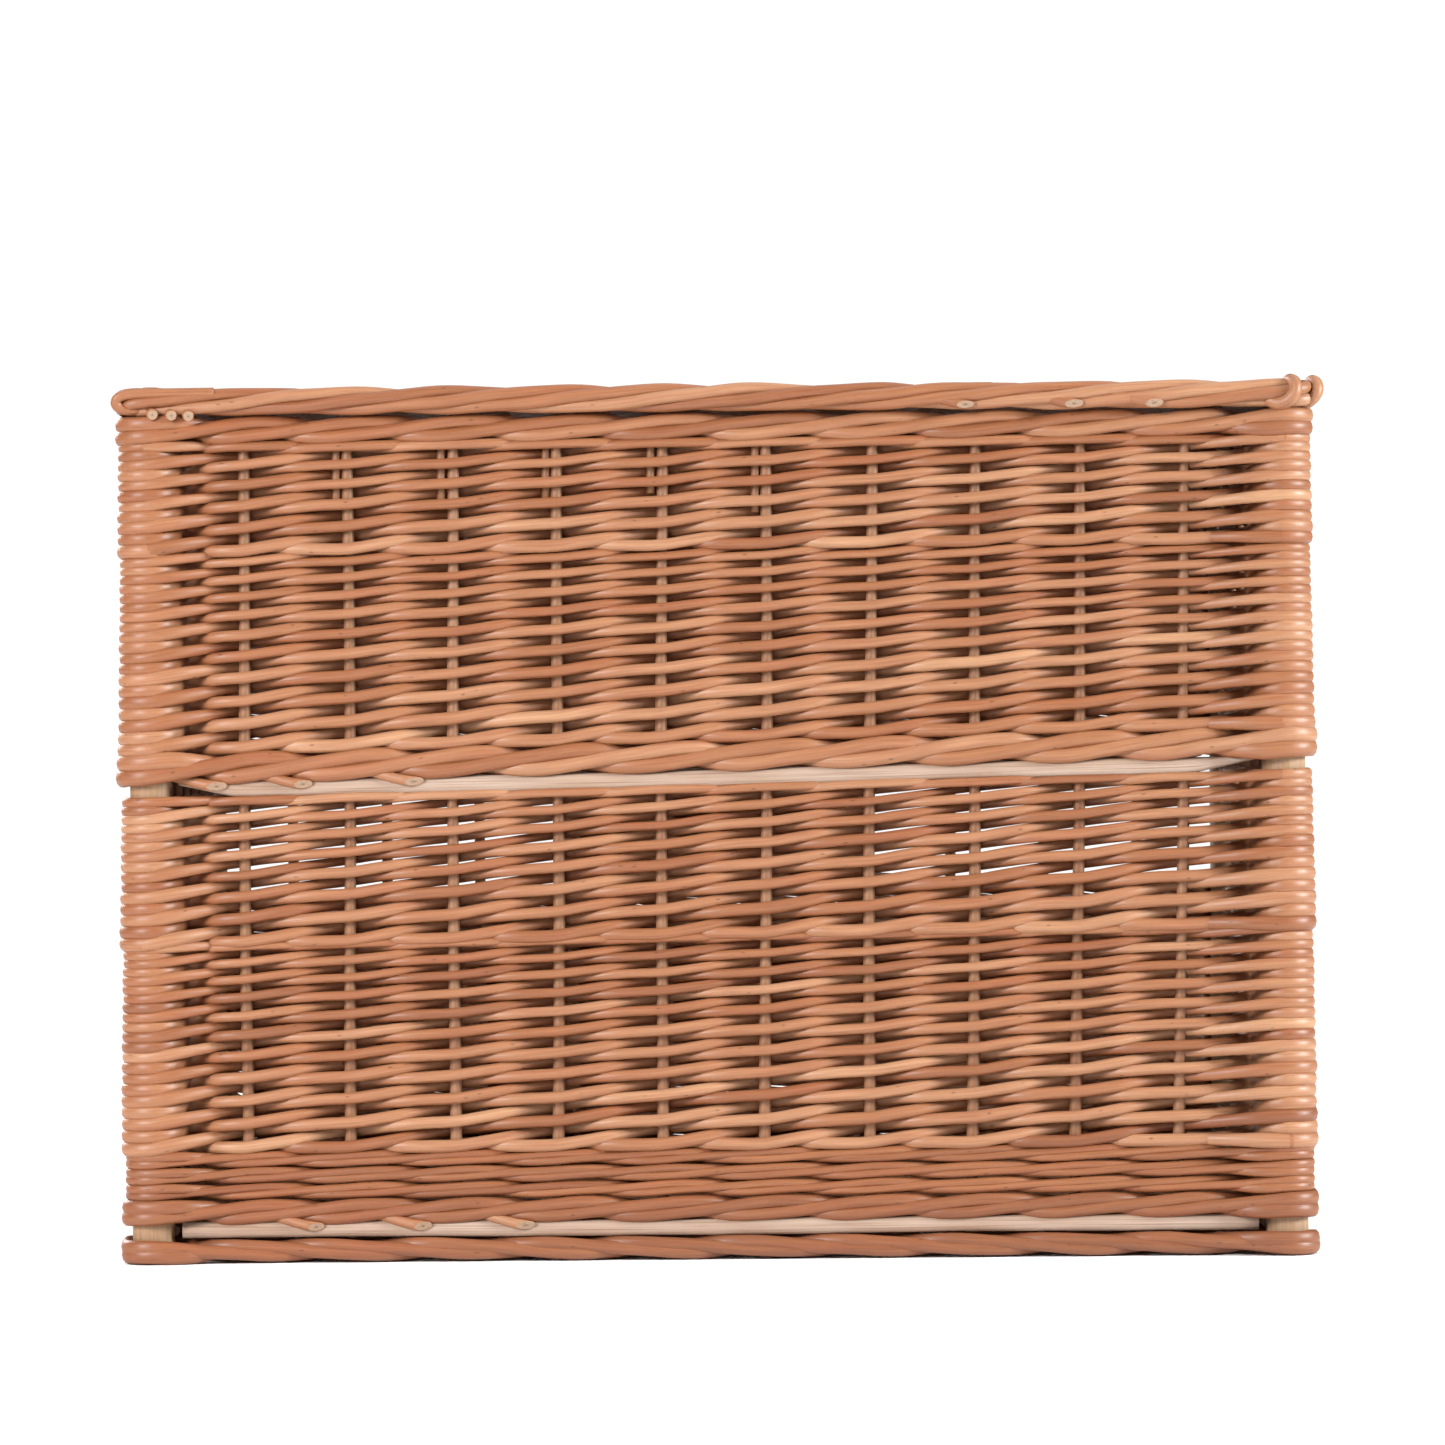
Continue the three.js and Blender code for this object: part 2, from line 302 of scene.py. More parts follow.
@dataclass(frozen=True)
class CutFinish:
    """A rod cut across: pale dry wood with a brown pith, matt because the lacquer soaks in."""

    name: str = "willow_cut_end"
    wood: str = "#a0856f"
    rim: str = "#7e5a41"
    pith: str = "#7a583f"
    radius: float = 3.2 * MM  # where the rim's colour ends
    blotch_mm: tuple[float, float] = (2, 0.6)  # the blotches' size, along and across

    def build(self) -> bpy.types.Material:
        """Make the material, which reads the distance from the rod's middle.

        Returns:
            The material.
        """
        material, shader = new_material(self.name)
        tree = material.node_tree
        place = attribute(tree, "rod_place", "Vector")
        flat = add_node(tree, "ShaderNodeVectorMath", {"operation": "MULTIPLY"}, {0: place, 1: (0, 1, 1)})
        radius = add_node(tree, "ShaderNodeVectorMath", {"operation": "LENGTH"}, {0: flat.outputs[0]})
        share = add_node(tree, "ShaderNodeMath", {"operation": "DIVIDE"}, {0: radius.outputs["Value"], 1: self.radius})
        stops = ((0.06, self.pith), (0.26, self.wood), (0.7, self.wood), (0.98, self.rim))
        base = ramp(tree, share.outputs[0], stops)
        noise = grain_noise(tree, place, *self.blotch_mm)
        shade = ramp(tree, noise, ((0.3, "#c9bfb6"), (0.7, "#ffffff")))
        tree.links.new(mixed(tree, "MULTIPLY", 0.8, base, shade), shader.inputs["Base Color"])
        shader.inputs["Roughness"].default_value = 0.7
        shader.inputs["IOR"].default_value = 1.45
        return material


@dataclass(frozen=True)
class SplitFinish:
    """Split and shaved willow: the white wood with long fibres, matt, with the odd brown streak."""

    name: str = "willow_split_shaved"
    pale: str = "#a68f80"
    deep: str = "#8a6e5b"
    bright: str = "#b5a08f"
    fibre_mm: tuple[float, float] = (60, 0.6)  # the fibres' size, along and across the lath
    cloud_mm: tuple[float, float] = (90, 12)  # the size of the browner stretches

    def build(self) -> bpy.types.Material:
        """Make the material.

        Returns:
            The material.
        """
        material, shader = new_material(self.name)
        tree = material.node_tree
        place = attribute(tree, "rod_place", "Vector")
        fibres = grain_noise(tree, place, *self.fibre_mm, 4.0)
        base = ramp(tree, fibres, ((0.3, self.deep), (0.5, self.pale), (1.0, self.bright)))
        clouds = grain_noise(tree, place, *self.cloud_mm)
        shade = ramp(tree, clouds, ((0.3, "#dccab6"), (0.65, "#ffffff")))
        tree.links.new(mixed(tree, "MULTIPLY", 0.8, base, shade), shader.inputs["Base Color"])
        bump = add_node(tree, "ShaderNodeBump", inputs={"Height": fibres, "Strength": 0.5, "Distance": 0.3 * MM})
        tree.links.new(bump.outputs["Normal"], shader.inputs["Normal"])
        shader.inputs["Roughness"].default_value = 0.6
        shader.inputs["IOR"].default_value = 1.45
        return material


WEAVER = RodFinish(
    "willow_buff_weaver",
    ((0.0, "#804c2e"), (0.3, "#935c39"), (0.6, "#9e6a48"), (0.85, "#a87857"), (1.0, "#b48764")),
    "#8f4d2c", "#3a1f10", 0.46,
)
STAKE = RodFinish(
    "willow_buff_stake", ((0.0, "#8e5f3d"), (0.5, "#9b6d4a"), (1.0, "#a87a59")), "#874e2d", "#3a1f10", 0.48
)
POLE = RodFinish(
    "willow_peeled_pole", ((0.0, "#9c7959"), (1.0, "#a98869")), "#8b6748", "#543822", 0.55, 0.5, 0.5, 0.0
)


class Finishes:
    """The materials, each made once."""

    def __init__(self) -> None:
        """Build every finish."""
        self.weaver = WEAVER.build()
        self.stake = STAKE.build()
        self.pole = POLE.build()
        self.cut = CutFinish().build()
        self.lath = SplitFinish().build()


# --------------------------------------------------------------------- rods
def along_path(path: np.ndarray) -> np.ndarray:
    """The distance of each point from the path's start, measured along it."""
    return np.r_[0, np.cumsum(np.linalg.norm(np.diff(path, axis=0), axis=1))]


def round_section(sides: int) -> np.ndarray:
    """A circle of unit radius as points (side, up)."""
    angle = 2 * np.pi * np.arange(sides) / sides
    return np.column_stack([np.cos(angle), np.sin(angle)])


def half_round_section(steps: int = 9) -> np.ndarray:
    """A half-round lath's section, flat on its negative side.

    Args:
        steps: The number of points on its bow.

    Returns:
        Points (side, up), about one unit from the middle.
    """
    angle = np.linspace(-0.5 * np.pi, 0.5 * np.pi, steps)
    bow = np.column_stack([1.3 * np.cos(angle) - 0.55, np.sin(angle)])
    flat = np.array([[-0.62, 0.8], [-0.62, 0.0], [-0.62, -0.8]])
    return np.vstack([bow, flat])


@dataclass
class Rod:
    """One rod, as a sweep along a centreline."""

    points: np.ndarray
    radii: np.ndarray  # one radius for each point, or a width and a height
    tone: float
    up: tuple[float, float, float] = (0.0, 0.0, 1.0)
    section: np.ndarray | None = None
    slant: float = 0.0  # how far the last cut leans, as a share of the radius
    BEVEL: ClassVar[float] = 0.25 * MM  # the small bevel at each cut, which keeps its edge from looking like a knife's
    BEVEL_RADIUS: ClassVar[float] = 0.86  # the cut's radius, as a share of the rod's
    SLANT_RISE: ClassVar[float] = 0.45  # how much of a slant runs upwards rather than across

    def sweep(self, default: np.ndarray, shift: float) -> tuple[np.ndarray, np.ndarray, int]:
        """Sweep the section along the rod.

        Args:
            default: The section used where the rod has none of its own.
            shift: How far along the pattern this rod begins, in metres.

        Returns:
            The vertices, ring by ring, then the middles of the two ends; each one's place in the
            straightened rod; and the number of sides.
        """
        section = default if self.section is None else self.section
        points = np.asarray(self.points, float)
        radii = np.asarray(self.radii, float)
        if radii.ndim == 1:
            radii = np.column_stack([radii, radii])
        ahead = np.gradient(points, axis=0)
        ahead /= np.linalg.norm(ahead, axis=1)[:, None]
        side = np.cross(ahead, np.array(self.up))
        side /= np.linalg.norm(side, axis=1)[:, None]
        above = np.cross(side, ahead)
        first, last = points[0] - self.BEVEL * ahead[0], points[-1] + self.BEVEL * ahead[-1]
        points = np.vstack([first, points, last])
        radii = np.vstack([self.BEVEL_RADIUS * radii[0], radii, self.BEVEL_RADIUS * radii[-1]])
        side, above, ahead = (np.vstack([v[:1], v, v[-1:]]) for v in (side, above, ahead))
        across = section[None, :, 0] * radii[:, :1]
        upward = section[None, :, 1] * radii[:, 1:]
        rings = points[:, None] + across[..., None] * side[:, None] + upward[..., None] * above[:, None]
        if self.slant:
            lean = self.slant * (across[-2:] - self.SLANT_RISE * upward[-2:])
            rings[-2:] -= lean[..., None] * ahead[-1]
        length = along_path(points) + shift
        along = np.repeat(length[:, None], len(section), axis=1)
        place = np.stack([along, across, upward], axis=-1)
        vertices = np.vstack([rings.reshape(-1, 3), points[[0, -1]]])
        ends = np.array([[length[0], 0, 0], [length[-1], 0, 0]])
        return vertices, np.vstack([place.reshape(-1, 3), ends]), len(section)


@dataclass
class RodBundle:
    """Rods that make one piece of the basket."""

    name: str
    material: bpy.types.Material
    cut: bpy.types.Material
    sides: int = 10
    rods: list[Rod] = field(default_factory=list)
    warp: Callable[[np.ndarray], np.ndarray] | None = None
    PATTERN_STEP: ClassVar[float] = 3.7  # metres along the grain's pattern from one rod's start to the next one's
    PATTERN_LENGTH: ClassVar[float] = 41  # metres after which the starts go round again

    def add(self, rod: Rod) -> None:
        """Add one rod."""
        self.rods.append(rod)

    def build(self, body: str, slot: str, *replaced: str) -> bpy.types.Object:
        """Make the piece, parent it to its body, and hide the CAD nodes that it stands for.

        Args:
            body: The body that it rides on.
            slot: The record's material slot; not used.
            *replaced: The CAD nodes that it stands for.

        Returns:
            The piece's object.
        """
        default = round_section(self.sides)
        vertices, places, tones, quads, fans = [], [], [], [], []
        count = 0
        for i, rod in enumerate(self.rods):
            points, place, sides = rod.sweep(default, self.PATTERN_STEP * i % self.PATTERN_LENGTH)
            quad, fan = self._faces((len(points) - 2) // sides, sides)
            quads.append(quad + count)
            fans.append(fan + count)
            vertices.append(points)
            places.append(place)
            tones.append(np.full(len(points), rod.tone))
            count += len(points)
        points = np.vstack(vertices)
        if self.warp:
            points = self.warp(points)
        mesh = self._mesh(points, np.vstack(quads), np.vstack(fans))
        mesh.attributes.new("rod_place", "FLOAT_VECTOR", "POINT").data.foreach_set(
            "vector", np.vstack(places).ravel()
        )
        mesh.attributes.new("rod_tone", "FLOAT", "POINT").data.foreach_set("value", np.concatenate(tones))
        piece = bpy.data.objects.new(self.name, mesh)
        bpy.context.scene.collection.objects.link(piece)
        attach(piece, body)
        if replaced:
            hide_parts(*replaced)
        log.info("%s: %d rods, %d faces", self.name, len(self.rods), len(mesh.polygons))
        return piece

    @staticmethod
    def _faces(rings: int, sides: int) -> tuple[np.ndarray, np.ndarray]:
        """Number the faces of one rod.

        Args:
            rings: How many rings of vertices it has.
            sides: How many vertices a ring has.

        Returns:
            The quads of its skin and the triangles of its two ends.
        """
        rim, after = np.arange(sides), (np.arange(sides) + 1) % sides
        begins, top = np.arange(rings - 1)[:, None] * sides, (rings - 1) * sides
        corner, following = begins + rim, begins + after
        quads = np.stack([corner, following, following + sides, corner + sides], axis=-1)
        near = np.column_stack([np.full(sides, rings * sides), after, rim])
        far = np.column_stack([np.full(sides, rings * sides + 1), top + rim, top + after])
        return quads.reshape(-1, 4), np.vstack([near, far])

    def _mesh(self, points: np.ndarray, quads: np.ndarray, fans: np.ndarray) -> bpy.types.Mesh:
        """Make the mesh.

        Args:
            points: Its vertices.
            quads: The quads of the rods' skins.
            fans: The triangles of the rods' ends, which get the cut's material.

        Returns:
            The mesh.
        """
        mesh = bpy.data.meshes.new(self.name)
        mesh.vertices.add(len(points))
        mesh.vertices.foreach_set("co", points.ravel())
        mesh.loops.add(quads.size + fans.size)
        mesh.loops.foreach_set("vertex_index", np.concatenate([quads.ravel(), fans.ravel()]))
        mesh.polygons.add(len(quads) + len(fans))
        starts = np.concatenate([4 * np.arange(len(quads)), quads.size + 3 * np.arange(len(fans))])
        mesh.polygons.foreach_set("loop_start", starts)
        is_end = np.repeat([False, True], [len(quads), len(fans)])
        mesh.materials.append(self.material)
        mesh.materials.append(self.cut)
        mesh.polygons.foreach_set("material_index", is_end.astype(np.int32))
        mesh.update(calc_edges=True)
        mesh.polygons.foreach_set("use_smooth", ~is_end)
        mesh.validate()
        return mesh


# ------------------------------------------------------------ the uprights
def centre_of(node: str) -> tuple[float, float]:
    """The plan centre of an upright CAD node."""
    low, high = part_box(node)
    return (low.x + high.x) / 2, (low.y + high.y) / 2


class Side(Enum):
    """Which side of an upright a rod passes."""

    OUT = 1
    IN = -1


class Lay(Enum):
    """How a rod moves between two uprights."""

    RANDED = "randed"
    WALED = "waled"


@dataclass(frozen=True)
class Upright:
    """A stake or a corner post, with the direction in which the next wall leaves it."""

    x: float
    y: float
    radius: float
    ahead: tuple[float, float]
    wall: str
    is_post: bool


@dataclass(frozen=True)
class Pass:
    """Where a rod passes one upright."""

    upright: int
    side: Side
    height: float
    radius: float  # the rod's own, there


def smooth_step(t: np.ndarray, start: float, end: float) -> np.ndarray:
    """Rise smoothly from 0 at start to 1 at end."""
    share = np.clip((t - start) / (end - start), 0, 1)
    return share * share * (3 - 2 * share)


def hermite(t: np.ndarray, slope_in: float, slope_out: float) -> np.ndarray:
    """A cubic from 0 to 1 with the given slopes at its two ends."""
    return (3 - 2 * t) * t * t + (t**3 - 2 * t * t + t) * slope_in + (t**3 - t * t) * slope_out


def through(points: np.ndarray, per_span: int) -> np.ndarray:
    """A smooth curve through some points, after Catmull and Rom.

    Args:
        points: The points.
        per_span: The number of steps from one point to the next.

    Returns:
        The curve's points.
    """
    padded = np.vstack([2 * points[0] - points[1], points, 2 * points[-1] - points[-2]])
    t = np.arange(per_span)[:, None] / per_span
    spans = []
    for a, b, c, d in zip(padded, padded[1:], padded[2:], padded[3:]):
        spans.append(
            0.5 * (2 * b + (c - a) * t + (2 * a - 5 * b + 4 * c - d) * t**2 + (3 * b - a - 3 * c + d) * t**3)
        )
    return np.vstack([*spans, points[-1:]])


@dataclass(frozen=True)
class Crossing:
    """How a rod crosses the wall between two uprights, and how it rises on the way."""

    begins: float  # where it starts to cross, as a share of the bay
    ends: float
    slope_in: float  # of its rise where the bay starts, as a share of the mean slope
    slope_out: float

    def ease(self, t: np.ndarray) -> tuple[np.ndarray, np.ndarray]:
        """The rod's shares of the way across and of the way up, at each share of the bay."""
        return smooth_step(t, self.begins, self.ends), hermite(t, self.slope_in, self.slope_out)


RANDED_IN = Crossing(0.4, 1.0, 1.2, 0.6)
RANDED_IN_FROM_POST = Crossing(0.1, 1.0, 1.2, 0.6)
RANDED_OUT = Crossing(0.0, 0.55, 1.8, 0.0)
RANDED_OUT_TO_POST = Crossing(-0.25, 0.7, 1.2, 0.4)
WALED_IN = Crossing(0.25, 1.0, -2.2, 2.0)
WALED_OUT = Crossing(0.0, 0.75, 2.0, -2.2)


class Walls:
    """The ring of uprights, anticlockwise from the front wall's left stake, and the paths round it."""

    BAY_STEPS = 9
    CORNER_STEPS = 6
    SMOOTHING = (0.25, 0.5)  # the weights of a point's neighbours and of the point itself
    PRESSED = (15 * MM, 30 * MM)  # from a post's centre: fully squeezed within the first, not at all past the second
    NARROWED, HEIGHTENED = 0.22, 0.17  # how a squeezed rod's half width and half height change
    # A rod's way round a post's inner edge, along the wall and out of it, as multiples of its reach.
    INNER_EDGE = ((0.0, 1.0), (0.5, 0.87), (0.87, 0.5), (1.02, 0.02), (1.15, -0.3), (1.45, -0.38))
    # Where it then crosses the wall, after a post or, the other way round, before one.
    AFTER_POST = (2.0, 2.5, 3.1)
    BEFORE_POST = (1.8, 2.3, 3.3)

    def __init__(self) -> None:
        """Read the uprights' places from the frame."""
        self.uprights: list[Upright] = []
        runs = (
            ("front", (1.0, 0.0), False, "front_right", (0.0, 1.0)),
            ("right", (0.0, 1.0), False, "rear_right", (-1.0, 0.0)),
            ("rear", (-1.0, 0.0), True, "rear_left", (0.0, -1.0)),
            ("left", (0.0, -1.0), True, "front_left", (1.0, 0.0)),
        )
        stake_radius = (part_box("stake_front_01")[1].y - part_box("stake_front_01")[0].y) / 2
        post_low, post_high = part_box("corner_post_front_left")
        post_radius = (post_high.y - post_low.y) / 2
        for wall, ahead, backwards, corner, turned in runs:
            names = sorted(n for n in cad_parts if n.startswith(f"stake_{wall}_"))
            for name in reversed(names) if backwards else names:
                self.uprights.append(Upright(*centre_of(name), stake_radius, ahead, wall, False))
            self.uprights.append(
                Upright(*centre_of(f"corner_post_{corner}"), post_radius, turned, wall, True)
            )

    def at(self, index: int) -> Upright:
        """The upright with this number, counted on round the ring."""
        return self.uprights[index % len(self.uprights)]

    def place(self, origin: Upright, ahead: tuple[float, float], along: np.ndarray, out: np.ndarray) -> np.ndarray:
        """Plan points from distances along a wall and out of it, measured from an upright."""
        dx, dy = ahead
        return np.column_stack([origin.x + along * dx + out * dy, origin.y + along * dy - out * dx])

    def thread(self, passes: Sequence[Pass], lay: Lay, wraps: bool = False) -> tuple[np.ndarray, np.ndarray]:
        """The centreline of a rod that is worked round the uprights.

        Args:
            passes: Where the rod passes each upright, one upright after another.
            lay: How it moves between them.
            wraps: True where a rod that would pass inside a post is wrapped round its outside instead.

        Returns:
            The centreline's points, and the rod's radius at each.
        """
        points, radii = [], []
        for now, then in zip(passes, passes[1:]):
            bay = self._bay(now, then, lay, wraps)
            points.append(bay)
            radii.append(np.linspace(now.radius, then.radius, len(bay), endpoint=False))
            if self.at(then.upright).is_post and (then.side is Side.OUT or wraps) and then is not passes[-1]:
                points.append(self._corner(then))
                radii.append(np.full(self.CORNER_STEPS, then.radius))
        path = np.vstack(points + [self._end(passes[-1], wraps)])
        eased = path.copy()
        beside, own = self.SMOOTHING
        eased[1:-1] = beside * path[:-2] + own * path[1:-1] + beside * path[2:]
        return eased, np.r_[np.concatenate(radii), passes[-1].radius]

    def pressed(self, radii: np.ndarray, path: np.ndarray) -> np.ndarray:
        """Squeeze a rod flat where it bends round a post.

        Args:
            radii: The rod's radius at each point.
            path: Its centreline.

        Returns:
            Its half width and half height at each point.
        """
        posts = np.array([[u.x, u.y] for u in self.uprights if u.is_post])
        nearest = np.linalg.norm(path[:, None, :2] - posts, axis=2).min(axis=1)
        squeezed = 1 - smooth_step(nearest, *self.PRESSED)
        return np.column_stack([radii * (1 - self.NARROWED * squeezed), radii * (1 + self.HEIGHTENED * squeezed)])

    def _offset(self, p: Pass, wraps: bool) -> tuple[float, float]:
        """Find where a rod passes its upright.

        Args:
            p: The pass.
            wraps: True where the rod goes round the outside of posts.

        Returns:
            How far along the wall and how far out it is from the upright's centre.
        """
        upright = self.at(p.upright)
        reach = upright.radius + p.radius
        if upright.is_post and p.side is Side.IN and not wraps:
            return reach * math.sqrt(0.5), -reach * math.sqrt(0.5)
        if upright.is_post:
            return 0.0, reach
        return 0.0, reach * p.side.value

    def _end(self, p: Pass, wraps: bool) -> np.ndarray:
        """Find the last point of a path, which arrives along the wall before its upright.

        Args:
            p: The last pass.
            wraps: True where the rod goes round the outside of posts.

        Returns:
            The point, as one row.
        """
        upright = self.at(p.upright)
        along, out = self._offset(p, wraps)
        ahead = self.at(p.upright - 1).ahead
        plan = self.place(upright, ahead, np.array([-along]), np.array([out]))
        return np.column_stack([plan, [p.height]])

    def _bay(self, now: Pass, then: Pass, lay: Lay, wraps: bool) -> np.ndarray:
        """Lead a rod from one upright to just before the next.

        Args:
            now: The pass at the first.
            then: The pass at the second.
            lay: How the rod moves between them.
            wraps: True where it goes round the outside of posts.

        Returns:
            The path's points.
        """
        start, end = self.at(now.upright), self.at(then.upright)
        length = math.hypot(end.x - start.x, end.y - start.y)
        if wraps and start.is_post and now.side is Side.IN:
            reach = start.radius + now.radius
            along, out, share = self._turn(reach, length, self._offset(then, wraps)[1], self.AFTER_POST)
        elif wraps and end.is_post and then.side is Side.IN:
            reach = end.radius + then.radius
            along, out, share = self._turn(reach, length, self._offset(now, wraps)[1], self.BEFORE_POST)
            along, out, share = length - along[::-1], out[::-1], 1 - share[::-1]
        else:
            t = np.arange(self.BAY_STEPS) / self.BAY_STEPS
            (along_now, out_now), (along_then, out_then) = self._offset(now, wraps), self._offset(then, wraps)
            along = along_now + (length - along_then - along_now) * t
            sideways, share = self._easing(now, then, lay, t)
            out = out_now + (out_then - out_now) * sideways
        plan = self.place(start, start.ahead, along, out)
        height = now.height + (then.height - now.height) * share
        return np.column_stack([plan, height])

    def _easing(self, now: Pass, then: Pass, lay: Lay, t: np.ndarray) -> tuple[np.ndarray, np.ndarray]:
        """Ease a rod across the wall.

        Args:
            now: The pass where the bay starts.
            then: The pass where it ends.
            lay: How the rod moves between them.
            t: Shares of the bay.

        Returns:
            The rod's shares of the way across and of the way up.
        """
        if lay is Lay.WALED and now.side is then.side:
            return t, t
        if lay is Lay.WALED:
            crossing = WALED_IN if now.side is Side.OUT else WALED_OUT
        elif now.side is Side.OUT:
            crossing = RANDED_IN_FROM_POST if self.at(now.upright).is_post else RANDED_IN
        else:
            crossing = RANDED_OUT_TO_POST if self.at(then.upright).is_post else RANDED_OUT
        return crossing.ease(t)

    def _turn(
        self, reach: float, length: float, out_then: float, comes_out: tuple[float, float, float]
    ) -> tuple[np.ndarray, np.ndarray, np.ndarray]:
        """Lead a rod round a post's inner edge and on to the next stake.

        Args:
            reach: From the post's centre to the rod's.
            length: From the post to the stake.
            out_then: How far out the rod passes the stake.
            comes_out: Where the rod comes back through the wall, as multiples of the reach.

        Returns:
            The rod's distances along the wall and out of it, and its share of the rise.
        """
        crossing = [
            [comes_out[0] * reach, -0.1 * reach], [comes_out[1] * reach, 0.7 * out_then],
            [comes_out[2] * reach, out_then], [length, out_then],
        ]
        marks = np.vstack([np.array(self.INNER_EDGE) * reach, crossing])
        curve = through(marks, 2)[:-1]
        steps = along_path(curve)
        share = hermite(steps / (steps[-1] + np.linalg.norm(marks[-1] - curve[-1])), 0.8, 0.2)
        return curve[:, 0], curve[:, 1], share

    def _corner(self, p: Pass) -> np.ndarray:
        """Take a rod a quarter turn round the outside of a post.

        Args:
            p: The pass at the post.

        Returns:
            The path's points.
        """
        post = self.at(p.upright)
        before = self.at(p.upright - 1).ahead
        out_x, out_y = before[1], -before[0]
        reach = post.radius + p.radius
        angle = 0.5 * math.pi * np.arange(self.CORNER_STEPS) / self.CORNER_STEPS
        x = post.x + reach * (np.cos(angle) * out_x + np.sin(angle) * before[0])
        y = post.y + reach * (np.cos(angle) * out_y + np.sin(angle) * before[1])
        return np.column_stack([x, y, np.full(self.CORNER_STEPS, p.height)])


@dataclass
class Settling:
    """How the basket came out of the hand: the mid wale climbs to the right, and stakes lean a little."""

    rise: float = 4.5 * MM  # how far the mid wale climbs, either way from the middle
    half_length: float = 265 * MM
    low: float = 57 * MM  # the heights where the climb starts, is greatest and has gone
    middle: float = 242 * MM
    high: float = 420 * MM
    MOST: ClassVar[float] = 1.1  # the climb goes on to this many half lengths
    lean: float = 7 * MM  # how far the foot of the last stake on the right stands in
    last_stake: float = 238 * MM

    def __call__(self, points: np.ndarray) -> np.ndarray:
        """Move points by the settling at their place.

        Args:
            points: The points.

        Returns:
            The moved points.
        """
        x, z = points[:, 0], points[:, 2]
        below = smooth_step(z, self.low, self.middle)
        above = 1 - smooth_step(z, self.middle, self.high)
        moved = points.copy()
        moved[:, 2] += self.rise * np.clip(x / self.half_length, -self.MOST, self.MOST) * below * above
        towards_right = np.clip(0.5 + 0.5 * x / self.last_stake, 0, 1)
        off_post = 1 - smooth_step(np.abs(x), self.last_stake, self.half_length)
        moved[:, 0] -= self.lean * towards_right * off_post * np.clip(1 - z / self.high, 0, 1)
        return moved


SWAYS = (0.045, 0.11)  # the lengths of a rod's slow sways, in metres
BUD_SPACING = 0.083  # from one bud of a rod to the next, in metres
BUD_SWELLING = 0.05  # of the radius
THICKNESS_SPREAD = 0.01


def wander(path: np.ndarray, random: np.random.Generator, amount: float) -> np.ndarray:
    """Give a path the slow unevenness of a grown rod.

    Args:
        path: The centreline.
        random: The source of chance.
        amount: The size of the sway, in metres.

    Returns:
        The moved centreline.
    """
    length = along_path(path)
    moved = path.copy()
    for wave in SWAYS:
        phase, _ = random.uniform(0, 2 * np.pi, 2)
        moved[:, 2] += 0.5 * amount * np.sin(2 * np.pi * length / wave + phase)
    return moved


def grown(radii: np.ndarray, path: np.ndarray, random: np.random.Generator) -> np.ndarray:
    """Give a rod the slight swellings that it has at its buds.

    Args:
        radii: Its radius at each point.
        path: Its centreline.
        random: The source of chance.

    Returns:
        The swollen radii.
    """
    swelling = np.maximum(0, np.sin(2 * np.pi * (along_path(path) / BUD_SPACING + random.uniform()))) ** 8
    return radii * (1 + BUD_SWELLING * swelling + random.normal(0, THICKNESS_SPREAD))


# ------------------------------------------------------------ woven pieces
@dataclass(frozen=True)
class Window:
    """The two airing windows in the rear wall, on either side of its closed middle."""

    bottom: float = 178 * MM
    start: float = 84 * MM  # from the wall's middle

    def clears(self, upright: Upright, height: float) -> bool:
        """Tell whether an upright is bare at some height.

        Args:
            upright: The upright.
            height: The height of the rod that would pass it.

        Returns:
            True where a window is, so that no rod passes.
        """
        return (
            upright.wall == "rear" and not upright.is_post and height > self.bottom and abs(upright.x) > self.start
        )


